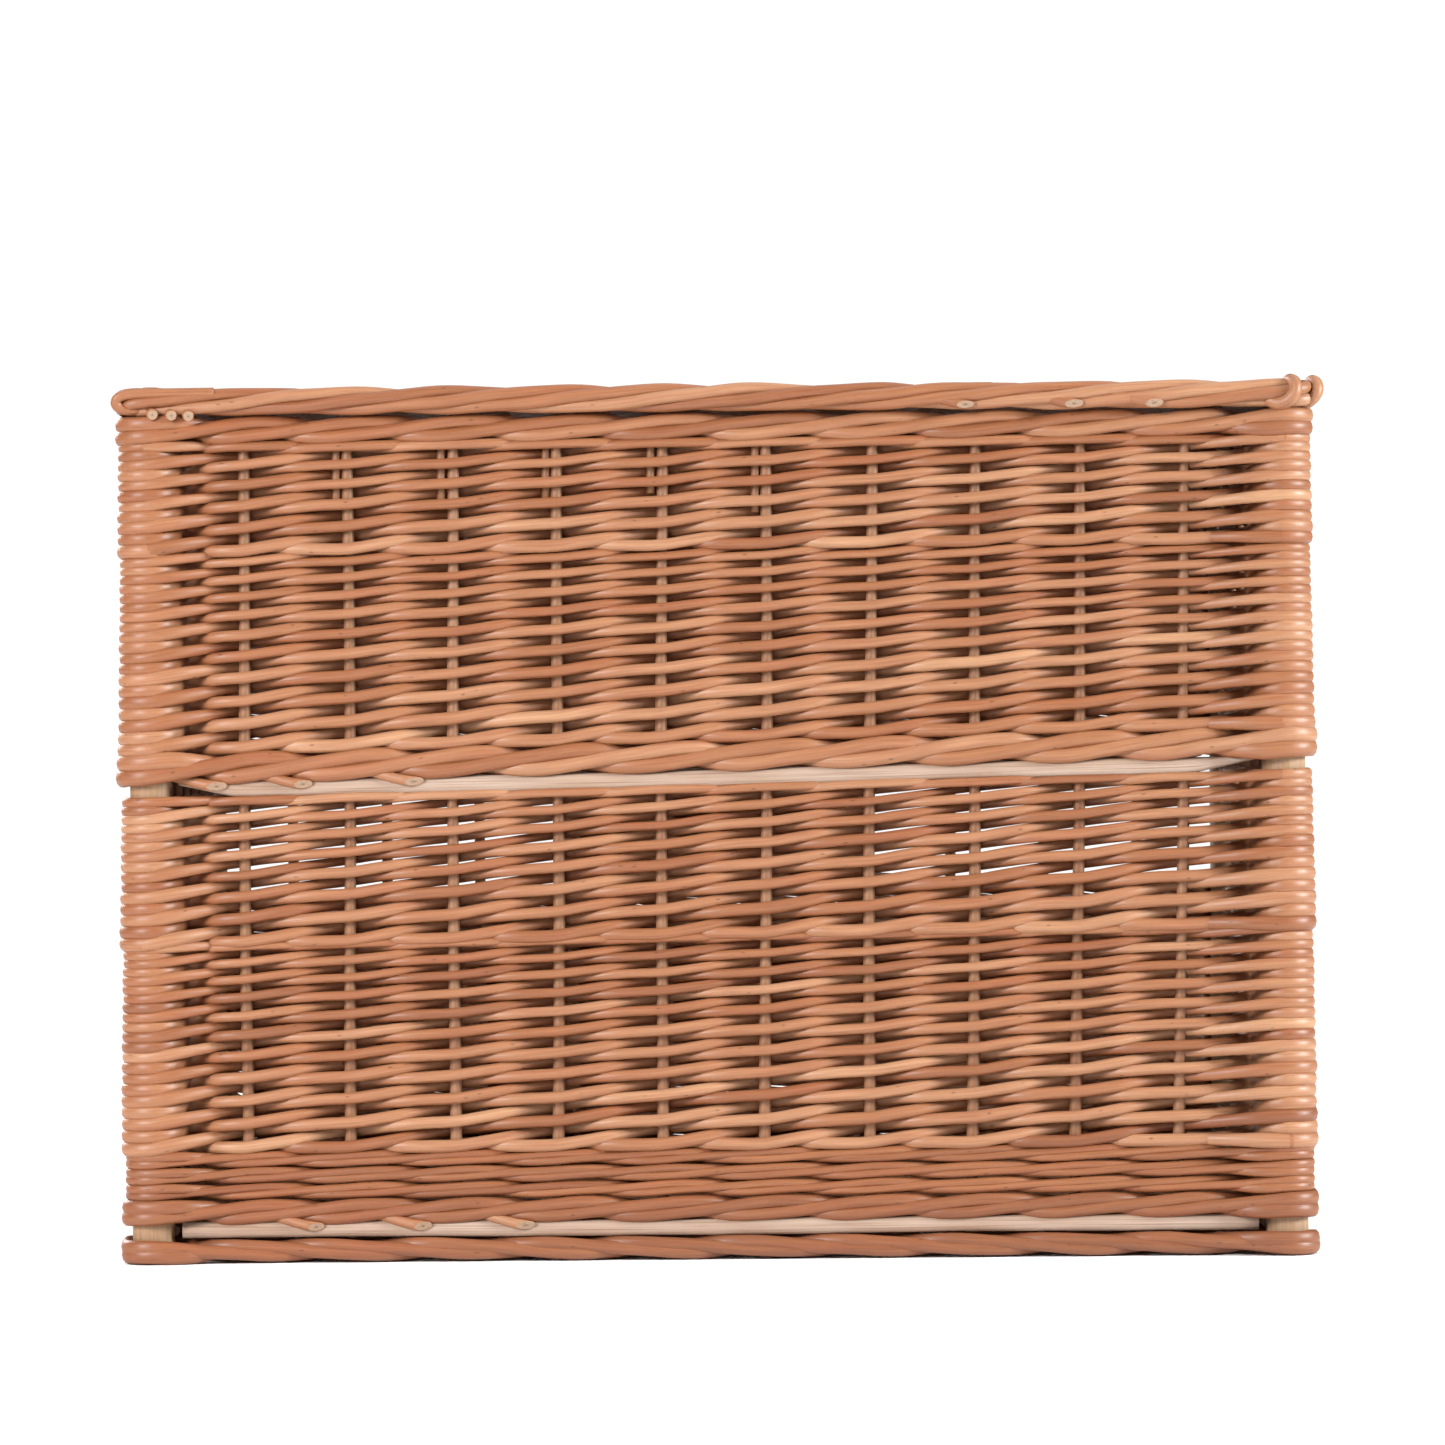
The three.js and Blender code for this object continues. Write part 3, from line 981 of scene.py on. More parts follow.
@dataclass
class RandedBand:
    """A band of French randing: one tapering rod starts at each upright, and all climb together."""

    name: str
    bottom: float
    top: float
    butt: float  # radius
    tip: float
    lift: tuple[float, float]  # how far a rod climbs at each stroke, at the butts and at the tips
    nodes: tuple[str, ...]
    seed: int
    window: Window | None = None
    IN_LIFT: ClassVar[float] = 0.2  # a pass behind a stake lies this share of a stroke higher
    FULLNESS: ClassVar[float] = 1.08  # damp rods are beaten down until they press into each other
    UNEVENNESS: ClassVar[float] = 0.035  # of the rods' thickness
    UNEVEN_HEIGHT: ClassVar[float] = 0.14 * MM
    SWAY: ClassVar[float] = 0.2 * MM
    REAR_FULLNESS: ClassVar[float] = 1.22  # the rear wall is beaten down harder
    POST_FULLNESS: ClassVar[float] = 1.1  # and so are its wraps round a post
    REAR_DROP: ClassVar[float] = 1.6 * MM  # how far the rear wall's first row is beaten into the row below
    BED: ClassVar[float] = 1.5 * MM  # how far the band's edges bed into its neighbours
    STUB: ClassVar[float] = 7 * MM  # how far a rod that is cut at a window sticks out past its stake

    def heights(self) -> np.ndarray:
        """Share the band's height out among its strokes.

        Returns:
            The height of each stroke at the uprights, from the first to the last.
        """
        bottom, top = self.bottom - self.BED, self.top + self.BED
        room = top - bottom - self.butt - self.tip
        strokes = max(2, round(2 * room / sum(self.lift)))
        steps = np.linspace(self.lift[0], self.lift[1], strokes)
        steps *= room / steps.sum()
        return bottom + self.butt + np.r_[0, np.cumsum(steps)]

    def build(self, walls: Walls, finishes: Finishes, settle: Settling) -> None:
        """Thread every rod of the band.

        Args:
            walls: The uprights.
            finishes: The materials.
            settle: How the basket has settled.
        """
        random = np.random.default_rng(self.seed)
        bundle = RodBundle(self.name, finishes.weaver, finishes.cut, warp=settle)
        heights = self.heights()
        for first in range(len(walls.uprights)):
            thickness = random.normal(self.FULLNESS, self.UNEVENNESS)
            for run in self._runs(walls, self._passes(walls, first, heights, thickness, random)):
                path, radii = walls.thread(run, Lay.RANDED, wraps=True)
                path, radii = self._overshoot(walls, run, path, radii)
                path = wander(path, random, self.SWAY)
                bundle.add(Rod(path, walls.pressed(grown(radii, path, random), path), random.beta(*WEAVER_TONES)))
        bundle.build("basket", "buff_willow_weave", *self.nodes)

    def _passes(
        self, walls: Walls, first: int, heights: np.ndarray, thickness: float, random: np.random.Generator
    ) -> list[Pass]:
        """Plan one rod, which starts and ends inside the basket.

        Args:
            walls: The uprights.
            first: The upright of its first outside stroke.
            heights: The height of each stroke.
            thickness: Its thickness, as a share of the usual.
            random: The source of chance.

        Returns:
            Its passes, in order.
        """
        passes = []
        top = len(heights) - 1
        start, end = -1, top + 1 - top % 2
        # A rod that would start or end at a post goes on round it.
        start -= walls.at(first + start).is_post
        end += walls.at(first + end).is_post
        for stroke in range(start, end + 1):
            place = min(max(stroke, 0), top)
            side = Side.OUT if stroke % 2 == 0 and 0 <= stroke <= top else Side.IN
            upright = walls.at(first + stroke)
            height = heights[place]
            if not upright.is_post:
                step = (heights[min(place + 1, top)] - heights[max(place - 1, 0)]) / 2
                lift = self.IN_LIFT * step if side is Side.IN and upright.wall != "rear" else 0
                height += random.normal(0, self.UNEVEN_HEIGHT) + lift
            radius = thickness * (self.butt + (self.tip - self.butt) * place / top)
            if upright.wall == "rear":
                radius *= self.POST_FULLNESS if upright.is_post else self.REAR_FULLNESS
                height -= self.REAR_DROP if place == 0 and not upright.is_post else 0
            passes.append(Pass(first + stroke, side, height, radius))
        return passes

    def _overshoot(
        self, walls: Walls, run: list[Pass], path: np.ndarray, radii: np.ndarray
    ) -> tuple[np.ndarray, np.ndarray]:
        """Let a rod that is cut at a window stick out a little past its last stake on that side.

        Args:
            walls: The uprights.
            run: The rod's passes.
            path: Its centreline.
            radii: Its radius at each point.

        Returns:
            The longer centreline and its radii.
        """
        for end, step in ((0, 1), (-1, -1)):
            upright = walls.at(run[end].upright)
            if self.window and self.window.clears(walls.at(run[end].upright - step), run[end].height + self.tip):
                away = np.array([*upright.ahead, 0.0]) * -step * self.STUB
                path = np.vstack([path[0] + away, path]) if step == 1 else np.vstack([path, path[-1] + away])
                radii = np.r_[radii[0], radii] if step == 1 else np.r_[radii, radii[-1]]
        return path, radii

    def _runs(self, walls: Walls, passes: list[Pass]) -> list[list[Pass]]:
        """Split a rod where it would cross a window in the rear wall.

        Args:
            walls: The uprights.
            passes: The whole rod's passes.

        Returns:
            The passes of each part that is long enough to hold.
        """
        runs, run = [], []
        for p in passes:
            if self.window and self.window.clears(walls.at(p.upright), p.height):
                runs.append(run)
                run = []
            else:
                run.append(p)
        runs.append(run)
        return [r for r in runs if len(r) > 1]


def butt_end(stake: Upright, height: float, back: float, random: np.random.Generator) -> Rod:
    """A starting rod's butt, which pokes out below a row and is cut on the slant.

    Args:
        stake: The stake that it points to.
        height: Its cut end's height.
        back: How far before the stake it ends.
        random: The source of chance.

    Returns:
        The short rod.
    """
    dx, dy = stake.ahead
    length, fall = 26 * MM, 7 * MM
    out_hidden, out_more = 1.0 * MM, 5.6 * MM  # how far out of the stake its hidden end lies, and its cut end further
    t = np.linspace(0, 1, 6)
    along = -back - length * (1 - t) + random.normal(0, 2 * MM)
    out = stake.radius + out_hidden + out_more * t
    z = height + fall * (1 - t) ** 1.3
    points = np.column_stack([stake.x + along * dx + out * dy, stake.y + along * dy - out * dx, z])
    radius = random.normal(2.6 * MM, 0.12 * MM)
    return Rod(points, np.full(len(t), radius), random.beta(*WEAVER_TONES), slant=random.uniform(1.5, 2.0))


@dataclass
class Wale:
    """Rows of three-rod waling: each rod passes outside two uprights and inside one."""

    name: str
    bottom: float
    top: float
    rows: int
    radius: float
    node: str
    seed: int
    climb: int = 1  # 1 where the rods climb as they go anticlockwise, -1 where they fall
    butts_at: tuple[int, ...] = ()  # the stakes just before which a starting rod's butt sticks out below
    butt_back: float = 18 * MM
    butt_rise: float = -1.2 * MM
    paleness: float = 1.0  # below 1 where its rods are darker
    rear_fullness: float = 1.0  # above 1 where the rear wall's rods are thicker
    STRANDS: ClassVar[int] = 3
    RODS_ROUND: ClassVar[int] = 3  # lengths of rod that one strand takes to go round the basket
    SPREAD: ClassVar[float] = 0.9  # how much of its row's spare height a strand uses
    SWAY: ClassVar[float] = 0.3 * MM

    def build(self, walls: Walls, finishes: Finishes, settle: Settling) -> None:
        """Thread every strand of every row.

        Args:
            walls: The uprights.
            finishes: The materials.
            settle: How the basket has settled.
        """
        random = np.random.default_rng(self.seed)
        bundle = RodBundle(self.name, finishes.weaver, finishes.cut, warp=settle)
        row_height = (self.top - self.bottom) / self.rows
        spread = row_height / 2 - self.radius
        length = len(walls.uprights) // self.RODS_ROUND
        for row in range(self.rows):
            middle = self.bottom + (row + 0.5) * row_height
            for strand in range(self.STRANDS):
                for part in range(self.RODS_ROUND):
                    first = strand + row + part * length + 2
                    run = [
                        self._pass(walls, first + i, (i + 2) % self.STRANDS, middle, spread)
                        for i in range(length + 1)
                    ]
                    path, radii = walls.thread(run, Lay.WALED)
                    path = wander(path, random, self.SWAY)
                    pressed = walls.pressed(grown(radii, path, random), path)
                    bundle.add(Rod(path, pressed, self.paleness * random.beta(*WEAVER_TONES)))
        for stake in self.butts_at:
            bundle.add(butt_end(walls.at(stake), self.bottom + self.butt_rise, self.butt_back, random))
        bundle.build("basket", "buff_willow_weave", self.node)

    def _pass(self, walls: Walls, upright: int, phase: int, middle: float, spread: float) -> Pass:
        """Plan one pass of a strand: low outside, high outside, then inside.

        Args:
            walls: The uprights.
            upright: The number of the upright.
            phase: Which of the three passes it is.
            middle: The row's height.
            spread: The row's spare height, above and below.

        Returns:
            The pass.
        """
        shift = (-self.SPREAD * spread, self.SPREAD * spread, 0.0)[phase] * self.climb
        radius = self.radius * (self.rear_fullness if walls.at(upright).wall == "rear" else 1.0)
        return Pass(upright, Side.IN if phase == 2 else Side.OUT, middle + shift, radius)


@dataclass
class Uprights:
    """The corner posts, the stakes, and the short by-stakes pushed down beside some of them."""

    seed: int = 5
    post_sway: float = 0.35 * MM
    stake_sway: float = 0.5 * MM
    sway_lengths: tuple[float, float] = (0.06, 0.05)  # metres of height for one radian of sway, along X and Y
    swelling: float = 0.02  # of the radius
    swelling_length: float = 0.021
    stake_taper: tuple[float, float] = (1.03, 0.94)  # a stake's radius at its foot and its tip, as a share
    by_stake_length: float = 34 * MM
    by_stake_radius: float = 2.2 * MM
    by_stake_gap: float = 0.3 * MM
    by_stake_tuck: float = 2 * MM  # how far it goes up into the top wale

    def build(self, walls: Walls, finishes: Finishes, settle: Settling) -> None:
        """Make every upright in its CAD node's place, then the by-stakes.

        Args:
            walls: The uprights' places.
            finishes: The materials.
            settle: How the basket has settled.
        """
        random = np.random.default_rng(self.seed)
        for node in sorted(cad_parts):
            if node.startswith(("stake_", "corner_post_")):
                self._upright(node, finishes, settle, random)
        self._by_stakes(walls, finishes, settle, random)

    def _upright(self, node: str, finishes: Finishes, settle: Settling, random: np.random.Generator) -> None:
        """Make one stake or post.

        Args:
            node: Its CAD node.
            finishes: The materials.
            settle: How the basket has settled.
            random: The source of chance.
        """
        is_post = node.startswith("corner_post_")
        low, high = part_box(node)
        radius = (high.y - low.y) / 2
        steps = 40
        z = np.linspace(low.z, high.z, steps)
        sway = self.post_sway if is_post else self.stake_sway
        phase = random.uniform(0, 2 * np.pi, 2)
        x = (low.x + high.x) / 2 + sway * np.sin(z / self.sway_lengths[0] + phase[0])
        y = (low.y + high.y) / 2 + 0.4 * sway * np.sin(z / self.sway_lengths[1] + phase[1])
        radii = radius * (1 + self.swelling * np.sin(z / self.swelling_length + phase[0]))
        if not is_post:
            radii = radii * np.linspace(*self.stake_taper, steps)
        material = finishes.pole if is_post else finishes.stake
        slot = "peeled_post" if is_post else "buff_willow_stake"
        name = node.replace("corner_post", "post") + "_rod"
        bundle = RodBundle(name, material, finishes.cut, 20 if is_post else 10, warp=settle)
        bundle.add(Rod(np.column_stack([x, y, z]), radii, random.beta(*STICK_TONES), up=(1.0, 0.0, 0.0)))
        bundle.build("basket", slot, node)

    def _by_stakes(self, walls: Walls, finishes: Finishes, settle: Settling, random: np.random.Generator) -> None:
        """Push a short rod down beside stakes 2 to 6 of each long wall and 2 to 4 of each end wall.

        Args:
            walls: The uprights' places.
            finishes: The materials.
            settle: How the basket has settled.
            random: The source of chance.
        """
        bundle = RodBundle("by_stakes", finishes.stake, finishes.cut, 8, warp=settle)
        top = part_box("top_wale")[0].z + self.by_stake_tuck
        counted: dict[str, int] = {}
        for upright in walls.uprights:
            counted[upright.wall] = counted.get(upright.wall, 0) + 1
            last = 6 if upright.wall in ("front", "rear") else 4
            if upright.is_post or not 2 <= counted[upright.wall] <= last:
                continue
            beside = -(upright.radius + self.by_stake_radius + self.by_stake_gap)
            x = upright.x + beside * upright.ahead[0]
            y = upright.y + beside * upright.ahead[1]
            foot = top - self.by_stake_length * random.uniform(0.8, 1.15)
            points = np.array([[x, y, foot + (top - foot) * t] for t in np.linspace(0, 1, 6)])
            radii = np.full(len(points), self.by_stake_radius)
            bundle.add(Rod(points, radii, random.beta(*STICK_TONES), up=(1.0, 0.0, 0.0)))
        bundle.build("basket", "buff_willow_stake")


@dataclass
class Laths:
    """Split laths outside the stakes, under the mid wale and under the lower wale."""

    seed: int = 11
    tuck: float = 1.4 * MM  # how far a lath goes up behind the wale's rods
    point: float = 30 * MM  # the length of a shaved point
    past_stake: float = 38 * MM  # how far an end wall's lath goes on past the last stake
    bow: float = 0.35 * MM
    fullness: float = 1.15  # how much deeper a lath is than its CAD node
    end_wall_out: float = 0.72  # how far off its stakes an end wall's lath lies, as a share of its depth

    def build(self, finishes: Finishes, settle: Settling) -> None:
        """Make the four laths of the long walls and the four of the end walls.

        Args:
            finishes: The materials.
            settle: How the basket has settled.
        """
        random = np.random.default_rng(self.seed)
        for level in ("bottom", "mid"):
            low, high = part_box(f"{level}_lath_front")
            depth = (high.y - low.y) / 2
            middle = (low.z + high.z) / 2
            height = (high.z - low.z) / 2
            for wall, sign in (("front", 1), ("rear", -1)):
                a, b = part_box(f"{level}_lath_{wall}")
                y = (a.y + b.y) / 2
                ends = np.array([[a.x, y, middle], [b.x, y, middle]])[::sign]
                self._lath(
                    f"{level}_lath_{wall}_split", ends, (depth, height), level == "mid", finishes, settle, random,
                    f"{level}_lath_{wall}",
                )
            stake_x = (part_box("stake_right_01")[0].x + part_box("stake_right_01")[1].x) / 2
            x = stake_x + (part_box("stake_front_01")[0].y - (low.y + high.y) / 2) + (high.y - low.y) * self.end_wall_out
            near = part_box("stake_right_01")[0].y - self.past_stake
            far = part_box("stake_right_06")[1].y + self.past_stake
            for wall, sign in (("right", 1), ("left", -1)):
                ends = np.array([[sign * x, near, middle], [sign * x, far, middle]])[::sign]
                self._lath(
                    f"{level}_lath_{wall}_split", ends, (depth, height), level == "mid", finishes, settle, random
                )

    def _lath(
        self, name: str, ends: np.ndarray, half_size: tuple[float, float], pointed: bool,
        finishes: Finishes, settle: Settling, random: np.random.Generator, *nodes: str,
    ) -> None:
        """Make one lath, with shaved points where it is pushed in beside the posts.

        Args:
            name: The piece's name.
            ends: Its two ends, so that its outside is on the right of the way from one to the other.
            half_size: Half its depth and half its height.
            pointed: Whether its ends are cut to points.
            finishes: The materials.
            settle: How the basket has settled.
            random: The source of chance.
            *nodes: The CAD node that it stands for.
        """
        steps = 60
        t = np.linspace(0, 1, steps)[:, None]
        points = ends[0] + (ends[1] - ends[0]) * t
        phase = random.uniform(0, 6)
        points[:, 2] += self.bow * np.sin(9 * t[:, 0] + phase)
        from_end = np.minimum(t[:, 0], 1 - t[:, 0]) * np.linalg.norm(ends[1] - ends[0])
        narrow = 0.2 + 0.8 * np.clip(from_end / self.point, 0, 1) if pointed else np.ones(steps)
        half_height = half_size[1] + 0.5 * self.tuck
        points[:, 2] += 0.5 * self.tuck + half_height * (1 - narrow)  # the upper edge stays under the wale
        height = half_height * narrow * (1 + 0.03 * np.sin(23 * t[:, 0] + phase))
        radii = np.column_stack([half_size[0] * self.fullness * np.sqrt(narrow), height])
        bundle = RodBundle(name, finishes.lath, finishes.lath, warp=settle)
        bundle.add(Rod(points, radii, 0.5, section=half_round_section()))
        bundle.build("basket", "split_lath", *nodes)


@dataclass
class RandedPanel:
    """A flat panel: sticks from front to rear, and weavers that go to and fro across them."""

    name: str
    body: str
    node: str
    middle: float  # height
    stick_radius: float
    end_radius: float
    weaver: tuple[float, float]  # butt and tip radius
    seed: int
    rows_per_rod: int = 3
    eyes: tuple[tuple[float, float], ...] = ()  # where a hinge ring goes through and pushes the weavers apart
    end_sticks: tuple[str, ...] = ()
    margin: float = 0.0  # how far inside its CAD node's edges it ends
    CLOSENESS: ClassVar[float] = 0.87  # the rows' spacing, as a share of a weaver's mean thickness
    UNEVENNESS: ClassVar[float] = 0.12 * MM
    BAY_STEPS: ClassVar[int] = 8
    TURN_STEPS: ClassVar[int] = 6  # of the half turn round an end stick
    EYE_REACH: ClassVar[float] = 20 * MM  # how far to each side of an eye its weavers are pushed
    EYE_OPENING: ClassVar[float] = 3.4 * MM
    EYE_DEPTH: ClassVar[float] = 9 * MM  # how fast the push dies away from row to row

    def build(self, walls: Walls, finishes: Finishes) -> None:
        """Make the sticks and the weave.

        Args:
            walls: The uprights, since the sticks lie in line with the front wall's stakes.
            finishes: The materials.
        """
        random = np.random.default_rng(self.seed)
        low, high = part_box(self.node)
        low, high = low + Vector((self.margin, self.margin, 0)), high - Vector((self.margin, self.margin, 0))
        sticks = sorted(u.x for u in walls.uprights if u.wall == "front" and not u.is_post)
        left, right = low.x + self.end_radius, high.x - self.end_radius
        if self.end_sticks:
            left, right = ((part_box(n)[0].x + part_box(n)[1].x) / 2 for n in self.end_sticks)
        self._sticks(sticks, (left, right), low.y, high.y, finishes, random)
        self._weave([left, *sticks, right], low.y, high.y, finishes, random)

    def _sticks(
        self, inner: list[float], ends: tuple[float, float], near: float, far: float,
        finishes: Finishes, random: np.random.Generator,
    ) -> None:
        """Make the inner sticks as one piece, and each end stick as its own.

        Args:
            inner: The inner sticks' places along X.
            ends: The end sticks' places along X.
            near: Where the sticks start along Y.
            far: Where they end.
            finishes: The materials.
            random: The source of chance.
        """
        bundle = RodBundle(f"{self.name}_sticks", finishes.stake, finishes.cut, 10)
        for x in inner:
            bundle.add(self._stick(x, near, far, self.stick_radius, random))
        bundle.build(self.body, "buff_willow_stake")
        for i, name in enumerate(("left", "right")):
            piece = RodBundle(f"{self.name}_end_stick_{name}", finishes.stake, finishes.cut, 12)
            piece.add(self._stick(ends[i], near, far, self.end_radius, random))
            piece.build(self.body, "buff_willow_stake", *self.end_sticks[i : i + 1])

    def _stick(self, x: float, near: float, far: float, radius: float, random: np.random.Generator) -> Rod:
        """Make one straight stick.

        Args:
            x: Its place along X.
            near: Where it starts along Y.
            far: Where it ends.
            radius: Its radius.
            random: The source of chance.

        Returns:
            The rod.
        """
        steps = 16
        points = np.column_stack([np.full(steps, x), np.linspace(near, far, steps), np.full(steps, self.middle)])
        return Rod(points, np.full(steps, radius), random.beta(*STICK_TONES))

    def _weave(
        self, xs: list[float], near: float, far: float, finishes: Finishes, random: np.random.Generator
    ) -> None:
        """Weave rods to and fro, each one for a few rows, turning round the end sticks.

        Args:
            xs: Every stick's place along X, from the left.
            near: Where the panel starts along Y.
            far: Where it ends.
            finishes: The materials.
            random: The source of chance.
        """
        bundle = RodBundle(self.name, finishes.weaver, finishes.cut, 8)
        butt, tip = self.weaver
        pitch = self.CLOSENESS * (butt + tip)
        rods = max(1, round((far - near - 2 * butt) / (pitch * self.rows_per_rod)))
        rows = rods * self.rows_per_rod
        pitch = (far - near - 2 * butt) / (rows - 1)
        for rod in range(rods):
            its_rows = range(rod * self.rows_per_rod, (rod + 1) * self.rows_per_rod)
            path = np.vstack([self._row(xs, near + butt + r * pitch, pitch, butt, r % 2 == 1) for r in its_rows])
            path[:, 1] += random.normal(0, self.UNEVENNESS)
            path = self._open_eyes(path)
            radii = grown(np.linspace(butt, tip, len(path)), path, random)
            bundle.add(Rod(path, radii, random.beta(*WEAVER_TONES), up=(0.0, 1.0, 0.0)))
        bundle.build(self.body, "buff_willow_weave", self.node)

    def _row(self, xs: list[float], y: float, pitch: float, radius: float, back: bool) -> np.ndarray:
        """Lead a weaver from end stick to end stick, and a half turn on to the next row.

        Args:
            xs: Every stick's place along X, from the left.
            y: The row's place.
            pitch: From one row to the next.
            radius: The weaver's radius.
            back: True where it goes from right to left.

        Returns:
            The path's points.
        """
        order = xs[::-1] if back else xs
        first = (-1 if len(xs) % 2 else 1) if back else 1
        sides = [first if i % 2 == 0 else -first for i in range(len(xs))]
        reaches = [self.stick_radius + radius] * len(xs)
        reaches[0] = reaches[-1] = self.end_radius + radius
        x, z = [], []
        t = np.arange(self.BAY_STEPS) / self.BAY_STEPS
        for i in range(len(xs) - 1):
            a, b = sides[i] * reaches[i], sides[i + 1] * reaches[i + 1]
            x.append(order[i] + (order[i + 1] - order[i]) * t)
            z.append(a + (b - a) * smooth_step(t, 0.1, 0.9))
        way = -1 if back else 1
        angle = np.linspace(0, np.pi, self.TURN_STEPS + 1)[:-1]
        x.append(order[-1] + way * reaches[-1] * np.sin(angle))
        z.append(sides[-1] * reaches[-1] * np.cos(angle))
        x, z = np.concatenate(x), np.concatenate(z)
        y_path = np.full(len(x), y)
        y_path[-len(angle):] += pitch * (1 - np.cos(angle)) / 2
        return np.column_stack([x, y_path, self.middle + z])

    def _open_eyes(self, path: np.ndarray) -> np.ndarray:
        """Push the weavers apart where a hinge ring goes through the panel.

        Args:
            path: A weaver's centreline.

        Returns:
            The moved centreline.
        """
        moved = path.copy()
        for x, y in self.eyes:
            near_x = 0.5 + 0.5 * np.cos(np.pi * np.clip((path[:, 0] - x) / self.EYE_REACH, -1, 1))
            away = path[:, 1] - y
            falloff = np.exp(-np.abs(away) / self.EYE_DEPTH)
            moved[:, 1] += np.where(away < 0, -1, 1) * self.EYE_OPENING * near_x * falloff
        return moved


@dataclass
class LidBorder:
    """The lid's border: four rods roped round its edge, climbing from left to right on the front."""

    radius: float = 3.15 * MM
    strands: int = 4
    turns: int = 10
    wide: float = 3.4 * MM  # from the rope's middle line to a strand's, sideways
    bite: float = 0.3 * MM  # how far the strands press past the CAD border's top and bottom
    sway: float = 0.5 * MM
    seed: int = 21
    corner: float = 7 * MM
    parts: int = 5  # lengths of rod in one strand
    butts_at: tuple[float, ...] = (127 * MM, 180 * MM, 226 * MM)  # where the cut ends of butts show, along X
    butt_rise: float = 2.2 * MM
    butt_inset: float = 4 * MM
    curl_radius: float = 2.7 * MM
    tucked_radius: float = 2.85 * MM
    # The rod that curls round the front left corner, in mm: along X, Y and Z from the border's lower front corner.
    CURL: ClassVar[tuple[tuple[float, float, float], ...]] = (
        (52, 0.6, 11.2), (30, 0.0, 11.0), (12, -0.6, 10.9), (5.0, -0.8, 9.6), (3.0, -0.4, 7.2),
        (4.2, 0.4, 4.4), (8.5, 1.6, 3.0), (16, 3.6, 3.2),
    )
    TUCKED_AT: ClassVar[tuple[float, ...]] = (19, 28.5, 37)  # the butts below it, in mm along X
    TUCKED_WAY: ClassVar[tuple[float, float, float]] = (2.6, -13.0, -3.2)  # from a butt's hidden end to its cut, in mm
    STEP: ClassVar[float] = 6 * MM  # between the points of the rope's middle line

    def build(self, finishes: Finishes) -> None:
        """Make the roped border.

        Args:
            finishes: The materials.
        """
        random = np.random.default_rng(self.seed)
        low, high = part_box("lid_border")
        tall = (high.z - low.z) / 2 - self.radius + self.bite
        centre, outward = self._outline(low, high, self.wide + self.radius)
        bundle = RodBundle("lid_border_rope", finishes.weaver, finishes.cut, 10)
        count = len(centre)
        share = np.arange(count) / count
        middle = (low.z + high.z) / 2
        for strand in range(self.strands):
            angle = 2 * np.pi * (self.turns * share + strand / self.strands)
            path = np.column_stack([
                centre[:, 0] + outward[:, 0] * self.wide * np.cos(angle),
                centre[:, 1] + outward[:, 1] * self.wide * np.cos(angle),
                middle + tall * np.sin(angle),
            ])
            starts = [self._hidden(angle, part * count // self.parts) for part in range(self.parts)]
            for start, end in zip(starts, starts[1:] + [starts[0] + count]):
                take = np.arange(start, end + 3) % count
                run = wander(path[take], random, self.sway)
                radii = grown(np.linspace(1.08, 0.95, len(run)) * self.radius, run, random)
                bundle.add(Rod(run, radii, random.beta(*WEAVER_TONES)))
        self._left_corner(bundle, low)
        self._right_corner(bundle, low, high)
        for x in self.butts_at:
            stake = Upright(x, low.y + self.radius + self.butt_inset, 0.0, (1.0, 0.0), "front", False)
            bundle.add(butt_end(stake, low.z + self.butt_rise, 0.0, random))
        bundle.build("lid", "buff_willow_weave", "lid_border")

    def _hidden(self, angle: np.ndarray, near: int) -> int:
        """Choose where to start a length of rod, so that its join is hidden inside the rope.

        Args:
            angle: The strand's angle round the rope at each point.
            near: The number of the first point that will do.

        Returns:
            The number of the point in the next turn where the strand lies innermost.
        """
        reach = len(angle) // self.turns
        window = np.arange(near, near + reach)
        return int(window[np.argmin(np.cos(angle[window % len(angle)]))])

    def _left_corner(self, bundle: RodBundle, low: Vector) -> None:
        """Add the rod that curls back round the front left corner, and the butts of the rods tucked in below it.

        Args:
            bundle: The border's rods.
            low: The border's lower corner.
        """
        front = low.y + self.radius
        points = through(np.array(self.CURL) * MM + np.array([low.x, front, low.z]), 5)
        bundle.add(Rod(points, np.full(len(points), self.curl_radius), 0.35, up=(0.0, 1.0, 0.0)))
        for i, x in enumerate(self.TUCKED_AT):
            start = np.array([low.x + x * MM, front + 9 * MM, low.z + (3.4 - 0.4 * i) * MM])
            end = start + np.array(self.TUCKED_WAY) * MM
            line = start + (end - start) * np.linspace(0, 1, 5)[:, None]
            bundle.add(Rod(line, np.full(5, self.tucked_radius), 0.5))

    def _right_corner(self, bundle: RodBundle, low: Vector, high: Vector) -> None:
        """Add the last rod's tail, wound nearly twice round the border at the front right corner.

        Args:
            bundle: The border's rods.
            low: The border's lower corner.
            high: The border's upper corner.
        """
        middle = np.array([high.x - 11 * MM, low.y + 9 * MM, (low.z + high.z) / 2 + 0.6 * MM])
        turns, begin, length = 1.7, 0.6, 25  # turns, the turn's share where it begins, and millimetres
        t = np.linspace(0, 1, 60)
        angle = 2 * np.pi * (turns * t + begin)
        along = (t - 0.5) * length * MM
        points = middle + np.column_stack([
            0.8 * along + 4.6 * MM * np.cos(angle), 0.6 * along - 5.4 * MM * np.cos(angle), 5.8 * MM * np.sin(angle),
        ])
        bundle.add(Rod(points, np.linspace(3.5, 3.0, len(t)) * MM, 0.75, up=(0.6, 0.8, 0.1)))

